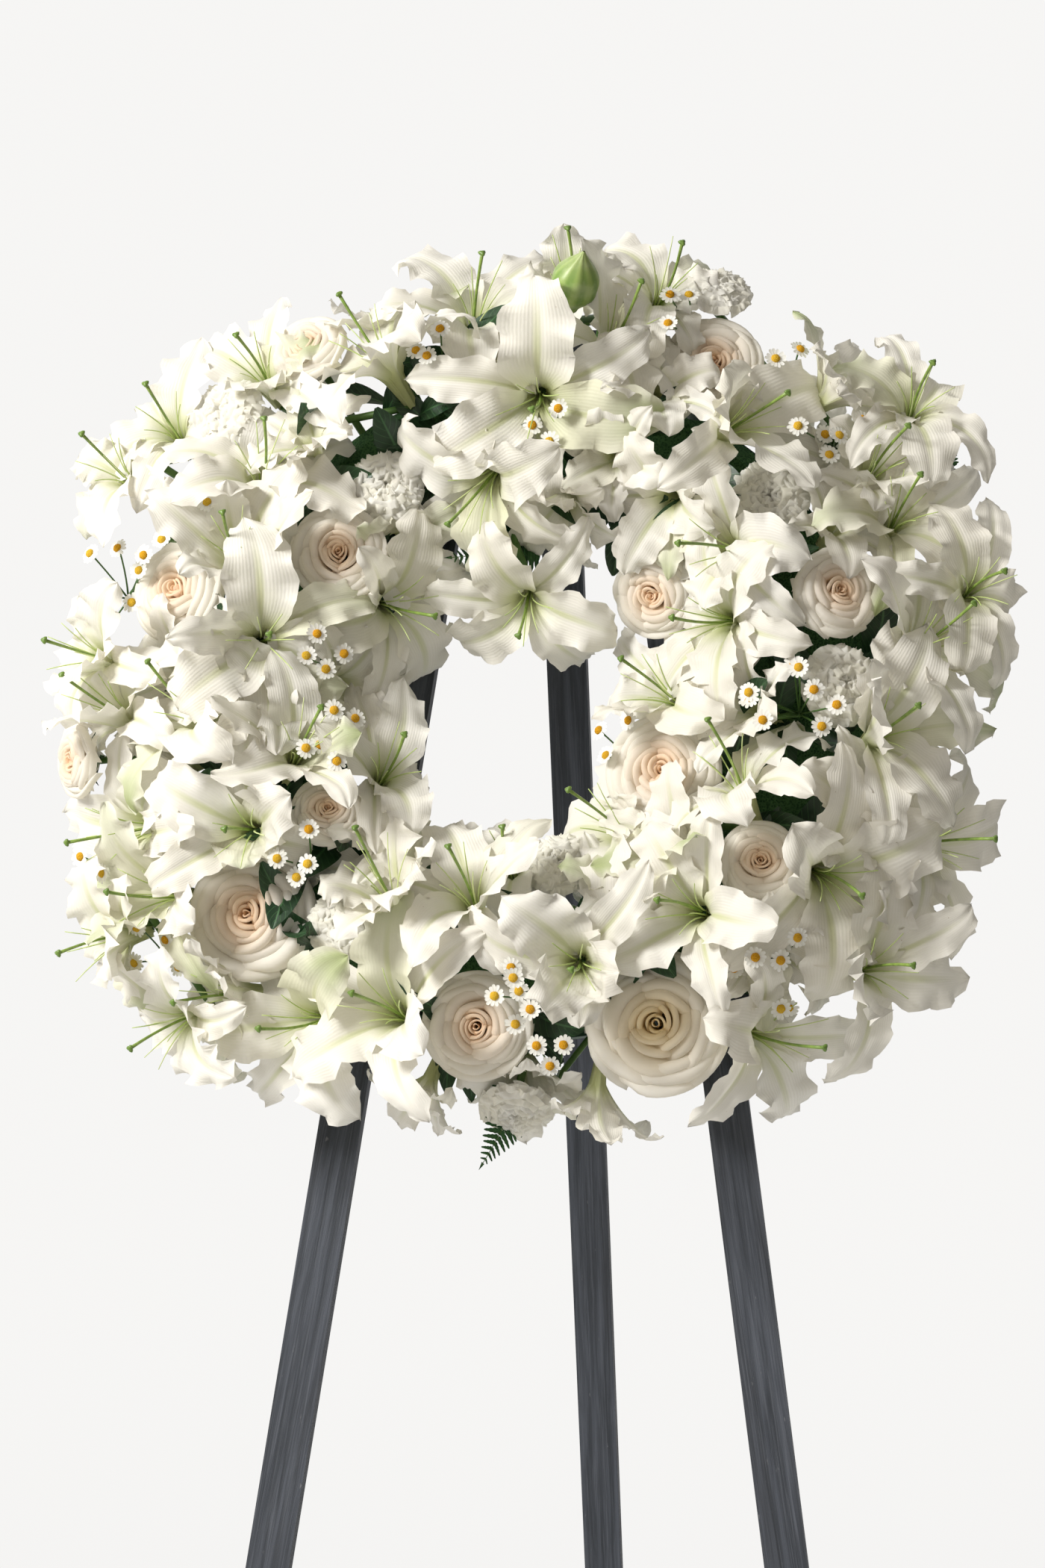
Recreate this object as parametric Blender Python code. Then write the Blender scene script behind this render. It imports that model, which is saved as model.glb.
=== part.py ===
"""A standing funeral wreath of white flowers on a folding three-legged wooden easel.

Metres, +Z up, front towards -Y. The wreath and the front of the easel are laid out in the
plane that leans back with the front legs: x to the right, y up the slope, z out to the front,
from the wreath's centre on the front face of the legs.
"""

import math
import random

import bmesh
import bpy
from mathutils import Matrix, Vector
from mathutils.bvhtree import BVHTree

MM = 0.001
SEAT = 0.0003  # gap between pieces that touch

# Easel
LEAN = math.radians(10.0)  # the front legs lean back
REAR_LEAN = math.radians(22.0)  # the rear leg leans the other way
WREATH_HEIGHT = 1.163  # wreath's centre above the floor
LEG_WIDTH = 0.036
LEG_THICK = 0.018
LEG_TOP = 0.342
LEG_HALF_TOP = 0.069  # half the distance between the front legs at their tops
LEG_HALF_FLOOR = 0.280
RAIL_HALF_TOP = 0.095
RAIL_HEIGHT_TOP = 0.045
RAIL_Y_MIDDLE = -0.252
RAIL_HALF_MIDDLE = 0.180
RAIL_HEIGHT_MIDDLE = 0.036
WOOD = ((0.075, 0.085, 0.105), 0.62, 0.0)

# Butt hinge between the top rail and the rear leg
AXIS_BELOW_TOP = 0.016
AXIS_OFF = 0.0034  # from the axis to the wood on each side
KNUCKLE_R = 0.003
PIN_R = 0.0015
PIN_BORE_R = 0.0021
LEAF_THICK = 0.0015
LEAF_LONG = 0.032
LEAF_WIDE = 0.030
KNUCKLE_GAP = 0.0003
STEEL = ((0.45, 0.45, 0.47), 0.35, 1.0)

# Hook and wire that the wreath hangs by
HOOK_R = 0.0022
HOOK_Y = 0.318
HOOK_OUT = 0.018  # from the rail to the turned-up end
HOOK_UP = 0.012
WIRE_R = 0.0012
WIRE_HALF = 0.022

# Tray and foam ring
RING_R = 0.235  # middle of the foam
RING_SIDES = 24
TRAY_HALF = 0.054
TRAY_THICK = 0.004
TRAY_RIM = 0.014
TRAY_WALL = 0.0035
FOAM_HALF = 0.0475
FOAM_TOP = 0.0596
FOAM_ROUND = 0.014
CORE_Z = 0.032  # where the stems aim
TRAY_PLASTIC = ((0.05, 0.16, 0.09), 0.5, 0.0)
FOAM_GREEN = ((0.10, 0.22, 0.10), 0.95, 0.0)

# Flowers
STEM_R = 0.0034
HOLE_EXTRA = 0.0018
HOLE_PAST = 0.006
STEM_PAST = 0.005  # a node's stems run this far past the point where they meet
LILY_REACH = 0.088  # throat's distance from the foam's core
ROSE_REACH = 0.092
CARNATION_REACH = 0.082
PISTIL = 0.085
THROAT_R = 0.009
THROAT_DEEP = 0.012
LILY_CONE = 0.030
LILY_CORE_R = 0.017
TWIG_CORE_R = 0.006
PETAL_LONG = 0.112
PETAL_THICK = 0.0022
PETAL_WIDE = (0.042, 0.031)  # the three inner petals and the three outer
PETAL_START = (math.radians(14.0), math.radians(30.0))
PETAL_ROWS = ((0.36, 0.74), (0.52,))
BEND_POWER = 0.8
BENDS = (118, 134, 102, 150, 86, 70, 168, 54, 40, 28)
SHRINKS = (1.0, 0.88, 0.76, 0.64, 0.52, 0.40)
YAWS = (0, 12, -12, 22, -22)
CLEAR = 0.0019
TO_VIEWER = Vector((0.0, -math.sin(math.radians(10.0)), math.cos(math.radians(10.0))))
OPEN_SHARE = {"rose": 0.41, "carnation": 0.36}  # of a head's width, kept open in front of it
OPEN_LONG = 0.15
LILY_WHITE = ((0.90, 0.89, 0.80), 0.42, 0.0)
ROSE_CREAM = ((0.93, 0.86, 0.74), 0.5, 0.0)
CARNATION_WHITE = ((0.92, 0.91, 0.84), 0.6, 0.0)
CHAMOMILE_WHITE = ((0.90, 0.84, 0.60), 0.6, 0.0)
FERN_GREEN = ((0.08, 0.20, 0.07), 0.5, 0.0)
LEAF_GREEN = ((0.04, 0.13, 0.04), 0.35, 0.0)

# What the flowers keep to
OUTLINE = (0.408, 0.392, 2.7)  # half width, half height and power of the wreath's outline
OUTLINE_Y = 0.006
FRONT_MOST = 0.215
BACK_MOST = 0.006
HOLE_X = (-0.092, 0.040)
HOLE_Y = (-0.104, 0.032)

# Lilies by node, in mm: throat x, y, then where the pistil's tip shows, x, y, then size
LILIES = {
    "lilies_top": ((6, 246, 9, 214, 1.12), (-57, 317, -43, 368, 0.95), (60, 290, 95, 335, 0.95)),
    "lilies_crown": ((25, 340, 29, 392, 0.85), (100, 338, 128, 376, 0.85)),
    "lilies_top_inner": ((-33, 184, -64, 126, 1.0), (-6, 84, -6, 34, 0.9)),
    "lilies_top_left": (
        (-122, 270, -168, 337, 1.0),
        (-234, 272, -252, 300, 0.9),
        (-233, 171, -219, 216, 0.95),
    ),
    "lilies_upper_left": ((-297, 234, -315, 266, 0.85), (-352, 186, -385, 215, 0.8)),
    "lilies_left_inner": ((-129, 79, -75, 54, 0.9), (-224, 36, -204, 24, 1.05), (-244, 100, -248, 130, 0.95)),
    "lilies_left": ((-265, -38, -312, 9, 1.0), (-366, 30, -410, 34, 0.85), (-343, -23, -394, 6, 0.95)),
    "lilies_left_low": (
        (-321, -114, -385, -136, 1.0),
        (-230, -143, -238, -156, 1.0),
        (-195, -67, -161, -31, 0.9),
        (-129, -76, -97, -45, 0.85),
    ),
    "lilies_low_left": (
        (-290, -176, -339, -184, 0.95),
        (-283, -275, -326, -312, 0.85),
        (-340, -208, -388, -232, 0.9),
    ),
    "lilies_foot_left": (
        (-237, -232, -291, -248, 0.95),
        (-173, -277, -214, -294, 1.0),
        (-91, -278, -122, -268, 1.05),
    ),
    "lilies_bottom_inner": (
        (-106, -190, -133, -132, 1.0),
        (-40, -190, -56, -146, 0.9),
    ),
    "lilies_bottom": ((48, -235, 50, -252, 1.0), (-2, -150, -4, -116, 0.70), (149, -194, 116, -194, 0.9)),
    "lilies_bottom_right": (
        (171, -284, 235, -303, 1.0),
        (277, -234, 322, -239, 1.0),
        (243, -157, 280, -186, 1.1),
    ),
    "lilies_right_inner": ((86, -118, 37, -85, 0.9), (184, -103, 154, -42, 0.9)),
    "lilies_right": ((318, -129, 388, -131, 1.0), (282, -36, 322, -21, 1.0)),
    "lilies_right_side": (
        (168, 56, 122, 44, 0.9),
        (175, 112, 128, 104, 0.9),
        (160, 213, 216, 230, 1.1),
        (120, -13, 75, 14, 0.85),
    ),
    "lilies_right_high": ((309, 30, 364, 61, 1.0), (300, 140, 328, 172, 0.9), (365, 84, 398, 88, 0.85)),
    "lilies_upper_right": ((280, 182, 318, 215, 0.9), (316, 236, 338, 268, 0.85)),
}
BUD = ("lilies_crown", 30, 318, 0.30, 0.60, 50)  # node, x, y, lean in x and y, length

# Roses and carnations, in mm: x, y, how far the face leans in x and y, diameter
ROSES = {
    "rose_inner_left": ((-159, 118, 0.10, 0.05, 78),),
    "rose_left": ((-297, 86, -0.45, 0.15, 86),),
    "rose_top_left": ((-202, 289, -0.30, 0.40, 66),),
    "rose_top_right": ((149, 285, 0.10, 0.20, 80),),
    "rose_inner_right": ((106, 88, -0.30, -0.35, 70),),
    "rose_right": ((251, 74, 0.45, 0.10, 74),),
    "rose_low_inner_right": ((113, -71, -0.10, 0.10, 92),),
    "rose_low_right": ((195, -149, 0.05, 0.10, 66),),
    "rose_bottom_right": ((125, -278, 0.00, -0.15, 116),),
    "rose_bottom": ((-45, -283, 0.00, -0.15, 86),),
    "rose_low_left": ((-236, -191, -0.15, -0.05, 106),),
    "rose_low_inner_left": ((-166, -112, 0.10, 0.30, 60),),
    "rose_left_edge": ((-380, -56, -0.80, -0.10, 62),),
}
CARNATIONS = {
    "carnations_left": ((-275, 235, -0.40, 0.30, 72), (-130, 164, 0.10, 0.10, 62)),
    "carnations_top_right": ((150, 340, 0.20, 0.60, 58), (198, 156, 0.10, 0.10, 66)),
    "carnation_right_edge": ((262, -10, 0.40, 0.05, 68),),
    "carnations_bottom": ((13, -153, 0.00, 0.40, 58), (-8, -345, 0.00, -0.80, 60)),
    "carnation_low_left": ((-153, -203, -0.05, 0.05, 56),),
}

# Chamomile sprays by node, in mm: x, y, number of heads, spread
SPRAYS = {
    "chamomile_left": ((-291, 143, 7, 34), (-358, 92, 7, 40)),
    "chamomile_top": ((-84, 279, 3, 20), (12, 214, 3, 20), (131, 325, 5, 34)),
    "chamomile_upper_right": ((250, 222, 6, 32), (215, 282, 2, 18)),
    "chamomile_right": ((226, -23, 8, 42), (80, -50, 6, 28)),
    "chamomile_inner_left": ((-163, 23, 4, 24), (-163, -50, 5, 28)),
    "chamomile_low_left": ((-180, -154, 4, 24), (-312, -223, 5, 28), (-370, -145, 3, 20)),
    "chamomile_bottom": ((12, -262, 7, 30), (22, -322, 3, 26), (207, -240, 7, 32)),
}
HEAD_R = 0.0095
HEAD_RAYS = 5
HEAD_REACH = 0.128
FORK_REACH = 0.066
ROOT_REACH = 0.060
BUD_REACH = 0.120
TWIG_R = 0.0013
HUB_R = 0.0046

# Fern fronds and broad leaves by node, in mm: root x, y, then each tip's x, y and height
FERNS = {
    "fern_bottom": ((5, -300, (-66, -372, 40), (48, -366, 40)),),
    "fern_inner_top": ((10, 150, (-64, 100, 60), (79, 112, 60)),),
    "fern_right": ((330, 190, (360, 236, 70), (384, 150, 60)),),
}
LEAVES = {
    "leaves_top": ((20, 262, (118, 322, 40), (-40, 352, 45), (40, 362, 30)),),
    "leaves_left": ((-262, 0, (-322, 36, 74), (-300, -60, 76), (-366, -20, 20)),),
    "leaves_right": ((262, 20, (330, 10, 60), (345, -50, 40), (352, 100, 30)),),
}
LEAF_THICKNESS = 0.0014


class Bloom:
    """One head with its stem: where it stands, which way it faces and what it is."""

    def __init__(self, node, kind, at, axis, size, spin):
        self.node = node
        self.kind = kind
        self.at = at
        self.axis = axis.normalized()
        self.size = size
        self.spin = spin
        self.foot = None
        self.petals = {}

    def sides(self):
        """Two unit vectors square to the axis."""
        side = self.axis.cross(Vector((0.2, 1.0, 0.1))).normalized()
        return side, self.axis.cross(side)

    def base(self):
        """Where the stem begins under the head."""
        depth = {"lily": LILY_CONE, "rose": 0.17, "carnation": 0.20, "bud": 0.16}
        return self.at - self.axis * (depth.get(self.kind, 0.0) * self.size)

    def ball(self):
        """Centre and radius of the round space that the head's core needs."""
        if self.kind in ("lily", "twig", "root"):
            radius = LILY_CORE_R if self.kind == "lily" else TWIG_CORE_R
            return self.at - self.axis * TWIG_CORE_R, radius
        if self.kind == "bud":
            return self.at + self.axis * 0.5 * self.size, 0.4 * self.size
        return self.at + self.axis * 0.18 * self.size, 0.5 * self.size


def lifted(x, y, reach, least=0.42):
    """The point at x, y that lies reach away from the foam's core, or the least share of it in front."""
    out = math.hypot(x, y) - RING_R
    return Vector((x, y, CORE_Z + math.sqrt(max(reach**2 - out**2, (least * reach) ** 2))))


def outward(at):
    """Away from the foam's core at a point of the wreath."""
    core = Vector((at.x, at.y, 0.0)).normalized() * RING_R
    return (at - core - Vector((0.0, 0.0, CORE_Z))).normalized()


def make_blooms():
    draw = random.Random(11)
    blooms = []
    for node, rows in LILIES.items():
        for x, y, tip_x, tip_y, size in rows:
            lean = Vector((tip_x - x, tip_y - y, 0.0)) * (MM / PISTIL)
            lean = lean * min(1.0, 0.9 / max(lean.length, 1e-6))
            axis = Vector((lean.x, lean.y, math.sqrt(1.0 - lean.length_squared)))
            at = lifted(x * MM, y * MM, LILY_REACH)
            blooms.append(Bloom(node, "lily", at, axis, size, draw.uniform(0.0, math.tau)))
    for kind, table, reach in (("rose", ROSES, ROSE_REACH), ("carnation", CARNATIONS, CARNATION_REACH)):
        for node, rows in table.items():
            for x, y, lean_x, lean_y, wide in rows:
                axis = Vector((lean_x, lean_y, math.sqrt(1.0 - lean_x**2 - lean_y**2)))
                at = lifted(x * MM, y * MM, reach - 0.18 * wide * MM)
                blooms.append(Bloom(node, kind, at, axis, wide * MM, draw.uniform(0.0, math.tau)))
    node, x, y, lean_x, lean_y, long = BUD
    axis = Vector((lean_x, lean_y, math.sqrt(1.0 - lean_x**2 - lean_y**2)))
    blooms.append(Bloom(node, "bud", lifted(x * MM, y * MM, BUD_REACH), axis, long * MM, 0.0))
    foliage = (("twig", SPRAYS, FORK_REACH), ("root", FERNS, ROOT_REACH), ("root", LEAVES, ROOT_REACH))
    for kind, table, reach in foliage:
        for node, rows in table.items():
            for row in rows:
                at = lifted(row[0] * MM, row[1] * MM, reach, 0.0)
                blooms.append(Bloom(node, kind, at, outward(at), 1.0, 0.0))
                blooms[-1].row = row
    return blooms


def spread_heads(blooms, rounds=40):
    """Push the heads' cores apart until none touches another."""
    for _ in range(rounds):
        for i, first in enumerate(blooms):
            for second in blooms[i + 1 :]:
                (a, ra), (b, rb) = first.ball(), second.ball()
                apart = b - a
                short = ra + rb + 0.002 - apart.length
                if short > 0:
                    push = apart.normalized() * short
                    first.at -= push * 0.5
                    second.at += push * 0.5


def core_point(angle, deep=0.0, out=0.0):
    rho = RING_R + out
    return Vector((rho * math.cos(angle), rho * math.sin(angle), CORE_Z - deep))


def circle(centre, axis, radius, count, turn=0.0):
    side = axis.cross(Vector((0.2, 1.0, 0.1))).normalized()
    up = axis.cross(side).normalized()
    steps = (turn + math.tau * i / count for i in range(count))
    return [centre + (side * math.cos(a) + up * math.sin(a)) * radius for a in steps]


def stitch(shape, outer, inner):
    """Triangles between two closed rows of points, the second with fewer points or as many."""
    n, m = len(outer), len(inner)
    j = 0
    for i in range(n):
        shape[1].append((outer[i], outer[(i + 1) % n], inner[j % m]))
        while (j + 1) * n <= (i + 1) * m:
            shape[1].append((outer[(i + 1) % n], inner[(j + 1) % m], inner[j % m]))
            j += 1


def add_points(shape, points):
    start = len(shape[0])
    shape[0].extend(points)
    return list(range(start, start + len(points)))


def nearest_turn(row, points, ring):
    """The ring's indices started where it lies nearest the row's first point."""
    best = min(range(len(ring)), key=lambda i: (points[ring[i]] - points[row[0]]).length)
    return ring[best:] + ring[:best]


def add_stem(shape, row, base, foot, radius, axis):
    """Close a head's underside onto a three-sided stem that runs to its foot."""
    along = (base - foot).normalized()
    top = add_points(shape, circle(base, (along + axis).normalized(), radius, 3))
    top = nearest_turn(row, shape[0], top)
    stitch(shape, row, top)
    low = add_points(shape, circle(foot - along * STEM_PAST, along, radius, 3))
    low = nearest_turn(top, shape[0], low)
    stitch(shape, top, low)
    shape[1].append(tuple(low))


def stem_only(base, foot, radius):
    shape = ([], [])
    along = (base - foot).normalized()
    top = add_points(shape, circle(base, along, radius, 3))
    low = add_points(shape, circle(foot - along * STEM_PAST, along, radius, 3))
    stitch(shape, top, low)
    shape[1].extend([tuple(top), tuple(low)])
    return shape


def tree_of(shape):
    return BVHTree.FromPolygons(shape[0], shape[1])


class Space:
    """What has been placed so far, for tests of what is placed next."""

    def __init__(self):
        self.things = []

    def add(self, owner, shape):
        points = shape[0]
        middle = sum(points, Vector()) / len(points)
        radius = max((p - middle).length for p in points)
        self.things.append((owner, middle, radius, tree_of(shape)))

    def hits(self, shape, skipped):
        """How many things the shape crosses, apart from the skipped ones."""
        points = shape[0]
        middle = sum(points, Vector()) / len(points)
        radius = max((p - middle).length for p in points)
        tree = None
        count = 0
        for owner, centre, reach, other in self.things:
            if (centre - middle).length > radius + reach or skipped(owner):
                continue
            tree = tree or tree_of(shape)
            count += bool(tree.overlap(other))
        return count


def half_width(share, wide):
    """Half a petal's width along its length: narrow at the throat, widest before the middle, pointed."""
    if share < 0.42:
        part = share / 0.42
        return 0.5 * wide * (0.22 + 0.78 * part * part * (3 - 2 * part))
    return 0.5 * wide * math.sqrt(max(0.0, 1.0 - ((share - 0.42) / 0.58) ** 2.2))


def petal_row(bloom, k, bend, length, yaw, share, grow=0.0, steps=8):
    """Left edge, ridge and right edge of petal k at a share of its length."""
    kind = k % 2
    start = PETAL_START[kind]
    radius = THROAT_R * bloom.size * 0.87
    height = 0.0
    step = share * length / steps
    for i in range(steps):
        angle = start + (bend - start) * ((i + 0.5) / steps * share) ** BEND_POWER
        radius += math.sin(angle) * step
        height += math.cos(angle) * step
    angle = start + (bend - start) * share**BEND_POWER
    side, up = bloom.sides()
    turn = bloom.spin + k * math.pi / 3 + yaw * share
    outward_dir = side * math.cos(turn) + up * math.sin(turn)
    across = up * math.cos(turn) - side * math.sin(turn)
    normal = bloom.axis * math.sin(angle) - outward_dir * math.cos(angle)
    middle = bloom.at + outward_dir * radius + bloom.axis * height - normal * (grow * 0.6)
    half = half_width(share, PETAL_WIDE[kind] * bloom.size) + grow
    return [middle - across * half, middle + normal * (PETAL_THICK + 1.6 * grow), middle + across * half]


def add_band(shape, low, high):
    """The faces of a blade between two rows of left, ridge and right points, or a row and the tip."""
    for i in range(3):
        j = (i + 1) % 3
        if len(high) == 1:
            shape[1].append((low[i], low[j], high[0]))
        else:
            shape[1].extend([(low[i], low[j], high[i]), (low[j], high[j], high[i])])


def rim_row(bloom, k):
    """Where petal k leaves the throat: its two corners, which it shares, and the ridge between."""
    side, up = bloom.sides()
    radius = THROAT_R * bloom.size
    row = []
    for turn, r, rise in ((k - 0.5, 1.0, 0.0), (k, 0.74, 0.0008), (k + 0.5, 1.0, 0.0)):
        angle = bloom.spin + turn * math.pi / 3
        flat = side * math.cos(angle) + up * math.sin(angle)
        row.append(bloom.at + flat * (radius * r) + bloom.axis * rise)
    return row


def petal_alone(bloom, k, lay, grow, whole):
    """A petal by itself, from the rim or from a little past it, grown all round to test for room."""
    shape = ([], [])
    bend, length, yaw = lay
    rows = [petal_row(bloom, k, bend, length, yaw, share, grow) for share in PETAL_ROWS[k % 2]]
    rim = rim_row(bloom, k)
    rows.insert(0, rim if whole else [a.lerp(b, 0.35) for a, b in zip(rim, rows[0])])
    indices = [add_points(shape, row) for row in rows]
    indices.append(add_points(shape, [petal_row(bloom, k, bend, length + grow, yaw, 1.0)[1]]))
    for low, high in zip(indices, indices[1:]):
        add_band(shape, low, high)
    shape[1].append((0, 1, 2))
    return shape


def in_bounds(points):
    """Inside the wreath's outline, in front of the easel and clear of the hole."""
    for p in points:
        if not BACK_MOST < p.z < FRONT_MOST:
            return False
        if HOLE_X[0] < p.x < HOLE_X[1] and HOLE_Y[0] < p.y < HOLE_Y[1]:
            return False
        wide, high, power = OUTLINE
        if (abs(p.x) / wide) ** power + (abs(p.y - OUTLINE_Y) / high) ** power > 1.0:
            return False
    return True


def lays_of(bloom, k, tilt):
    """The ways petal k may lie, from the fullest to the most folded and shortened."""
    for shrink in SHRINKS:
        for bend in BENDS:
            for yaw in YAWS:
                yield math.radians(bend + tilt), PETAL_LONG * bloom.size * shrink, math.radians(yaw)


def open_way(bloom):
    """The tube in front of a rose or carnation that no petal crosses, so that its face shows."""
    radius = OPEN_SHARE[bloom.kind] * bloom.size
    near = circle(bloom.at + bloom.axis * 0.25 * bloom.size, TO_VIEWER, radius, 10)
    far = circle(bloom.at + TO_VIEWER * OPEN_LONG, TO_VIEWER, radius, 10)
    faces = [(i, (i + 1) % 10, 10 + (i + 1) % 10, 10 + i) for i in range(10)]
    return near + far, faces + [tuple(range(10)), tuple(range(10, 20))]


def choose_petals(bloom, space, draw):
    """Bend each petal clear of everything placed before it, giving up length only where it must."""
    tilt = draw.uniform(-10, 10)

    def not_others(owner):
        return owner[0] is bloom or owner[1] == "loose"

    def not_own(owner):
        return owner[0] is not bloom or owner[1] != "loose"

    for k in (0, 2, 4, 1, 3, 5):
        bloom.petals[k] = None
        for lay in lays_of(bloom, k, tilt + draw.uniform(-12, 12)):
            whole = petal_alone(bloom, k, lay, CLEAR, True)
            if not in_bounds(whole[0]) or space.hits(whole, not_others):
                continue
            if space.hits(petal_alone(bloom, k, lay, CLEAR / 2, False), not_own):
                continue
            if space.hits(petal_alone(bloom, k, lay, 0.0, True), not_others):
                continue
            bloom.petals[k] = lay
            space.add((bloom, "loose"), petal_alone(bloom, k, lay, 0.0, False))
            space.add((bloom, "whole"), petal_alone(bloom, k, lay, 0.0, True))
            break


def lily_shape(bloom, with_petals=True):
    """A lily: pistil, throat, six petals that share the throat's rim, and the stem."""
    shape = ([], [])
    rim = [rim_row(bloom, k) for k in range(6)]
    corners, ridges = (add_points(shape, [row[i] for row in rim]) for i in (0, 1))
    for k in range(6):
        row = [corners[k], ridges[k], corners[(k + 1) % 6]]
        lay = bloom.petals.get(k) if with_petals else None
        if lay is None:
            shape[1].append(tuple(row))
            continue
        for share in PETAL_ROWS[k % 2]:
            high = add_points(shape, petal_row(bloom, k, *lay, share))
            add_band(shape, row, high)
            row = high
        add_band(shape, row, add_points(shape, [petal_row(bloom, k, *lay, 1.0)[1]]))
    inner = [index for k in range(6) for index in (corners[k], ridges[k])]
    turn = bloom.spin - math.pi / 6
    low = add_points(shape, circle(bloom.at - bloom.axis * THROAT_DEEP, bloom.axis, 0.0014, 3, turn))
    stitch(shape, inner, low)
    end = bloom.at + bloom.axis * (PISTIL * (0.55 + 0.45 * bloom.size) - THROAT_DEEP)
    high = add_points(shape, circle(end, bloom.axis, 0.0026, 3, turn))
    stitch(shape, low, high)
    shape[1].append(tuple(high))
    add_stem(shape, corners, bloom.base(), bloom.foot, STEM_R, bloom.axis)
    return shape


# Rings of a rose and a carnation from the heart out: share of radius, height, kind of edge
ROSE_RINGS = (
    (0.17, 0.66, "rim"), (0.25, 0.50, "fold"), (0.43, 0.64, "rim"), (0.52, 0.40, "fold"),
    (0.71, 0.54, "rim"), (0.80, 0.26, "fold"), (1.00, 0.36, "rim"), (0.84, 0.10, "fold"),
    (0.34, -0.22, "fold"),
)
CARNATION_RINGS = (
    (0.30, 0.62, "rim"), (0.42, 0.42, "fold"), (0.68, 0.52, "rim"), (0.76, 0.24, "fold"),
    (1.00, 0.26, "rim"), (0.62, -0.06, "fold"), (0.28, -0.24, "fold"),
)
HEART_HEIGHT = 0.56
ROUND_SIDES = (8, 10)  # on a small head and on one over the width below
ROUND_LARGE = 0.078


def round_shape(bloom):
    """A rose or a carnation: rings of petal rims with folds between them, and the stem."""
    shape = ([], [])
    side, up = bloom.sides()
    radius = bloom.size / 2
    count = ROUND_SIDES[bloom.size > ROUND_LARGE]
    rings = ROSE_RINGS if bloom.kind == "rose" else CARNATION_RINGS
    notch, drop = (0.07, 0.07) if bloom.kind == "rose" else (0.05, -0.10)
    heart = add_points(shape, [bloom.at + bloom.axis * (HEART_HEIGHT * radius)])[0]
    before = None
    for number, (share, height, edge) in enumerate(rings):
        points = []
        for i in range(count):
            turn = bloom.spin + math.tau * i / count + 0.12 * number
            dent = edge == "rim" and (i + number // 2) % 2
            r = radius * share * (1.0 - notch * dent)
            z = radius * (height - drop * dent)
            points.append(bloom.at + (side * math.cos(turn) + up * math.sin(turn)) * r + bloom.axis * z)
        row = add_points(shape, points)
        if before is None:
            for i in range(count):
                shape[1].append((heart, row[i], row[(i + 1) % count]))
        else:
            stitch(shape, before, row)
        before = row
    add_stem(shape, before, bloom.base(), bloom.foot, STEM_R, bloom.axis)
    return shape


def hub_shape(at):
    """A small knot with twenty faces, each of which can grow a stalk."""
    golden = (1 + math.sqrt(5)) / 2
    points = []
    for a, b in ((1, golden), (-1, golden), (1, -golden), (-1, -golden)):
        points += [Vector((0, a, b)), Vector((a, b, 0)), Vector((b, 0, a))]
    points = [at + p.normalized() * HUB_R for p in points]
    faces = []
    edge = HUB_R * 1.06
    for i in range(12):
        for j in range(i + 1, 12):
            for k in range(j + 1, 12):
                trio = (points[i], points[j], points[k])
                if all((trio[m] - trio[m - 1]).length < edge for m in range(3)):
                    out = (trio[1] - trio[0]).cross(trio[2] - trio[0]).dot(trio[0] - at) > 0
                    faces.append((i, j, k) if out else (i, k, j))
    return points, faces


def grow_head(shape, face, at, axis, spin):
    """Grow a stalk and a small daisy head from one face of the knot."""
    points = shape[0]
    root = sum((points[i] for i in face), Vector()) / 3
    along = (at - axis * 0.004 - root).normalized()
    star = []
    side = axis.cross(Vector((0.2, 1.0, 0.1))).normalized()
    up = axis.cross(side)
    for i in range(2 * HEAD_RAYS):
        turn = spin + math.pi * i / HEAD_RAYS
        r = HEAD_R if i % 2 == 0 else 0.56 * HEAD_R
        star.append(at + (side * math.cos(turn) + up * math.sin(turn)) * r)
    star = add_points(shape, star)
    apex = add_points(shape, [at + axis * 0.0034])[0]
    for i in range(len(star)):
        shape[1].append((apex, star[i], star[(i + 1) % len(star)]))
    neck = circle(at - axis * 0.004, (along + axis).normalized(), TWIG_R, 3)
    neck = nearest_turn(star, points, add_points(shape, neck))
    stitch(shape, star, neck)
    way = (points[neck[0]] - at).normalized()
    start = max(range(3), key=lambda i: (points[face[i]] - root).normalized().dot(way))
    base = [face[(start + i) % 3] for i in range(3)]
    stitch(shape, neck, base)


def bud_shape(bloom):
    """A closed lily bud, six-sided and pointed."""
    shape = ([], [])
    before = None
    for share, wide in ((0.9, 0.14), (0.6, 0.36), (0.3, 0.40), (0.0, 0.20)):
        row = circle(bloom.at + bloom.axis * (share * bloom.size), bloom.axis, wide * bloom.size, 6, 0.1)
        row = add_points(shape, row)
        if before is None:
            tip = add_points(shape, [bloom.at + bloom.axis * bloom.size])[0]
            shape[1].extend((tip, row[i], row[(i + 1) % 6]) for i in range(6))
        else:
            stitch(shape, before, row)
        before = row
    add_stem(shape, before, bloom.base(), bloom.foot, STEM_R, bloom.axis)
    return shape


def segment_gap(a, b, c, d):
    """Least distance between the segments ab and cd."""
    u, v, w = b - a, d - c, a - c
    uu, uv, vv, uw, vw = u.dot(u), u.dot(v), v.dot(v), u.dot(w), v.dot(w)
    spread = uu * vv - uv * uv
    s = min(1.0, max(0.0, (uv * vw - vv * uw) / spread)) if spread > 1e-12 else 0.0
    t = min(1.0, max(0.0, (uv * s + vw) / vv))
    s = min(1.0, max(0.0, (uv * t - uw) / uu))
    return (a + u * s - c - v * t).length


def in_foam(p, margin):
    """Whether a point of the leaning plane's space is in the foam ring grown by a margin."""
    return abs(math.hypot(p.x, p.y) - RING_R) < FOAM_HALF + margin and p.z < FOAM_TOP + margin


def lift_off_foam(blooms):
    """Move a head outwards until its underside is clear of the foam."""
    for bloom in blooms:
        for _ in range(20):
            if bloom.kind in ("twig", "root") or not in_foam(bloom.base(), 0.013):
                break
            bloom.at += outward(bloom.at) * 0.002


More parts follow.
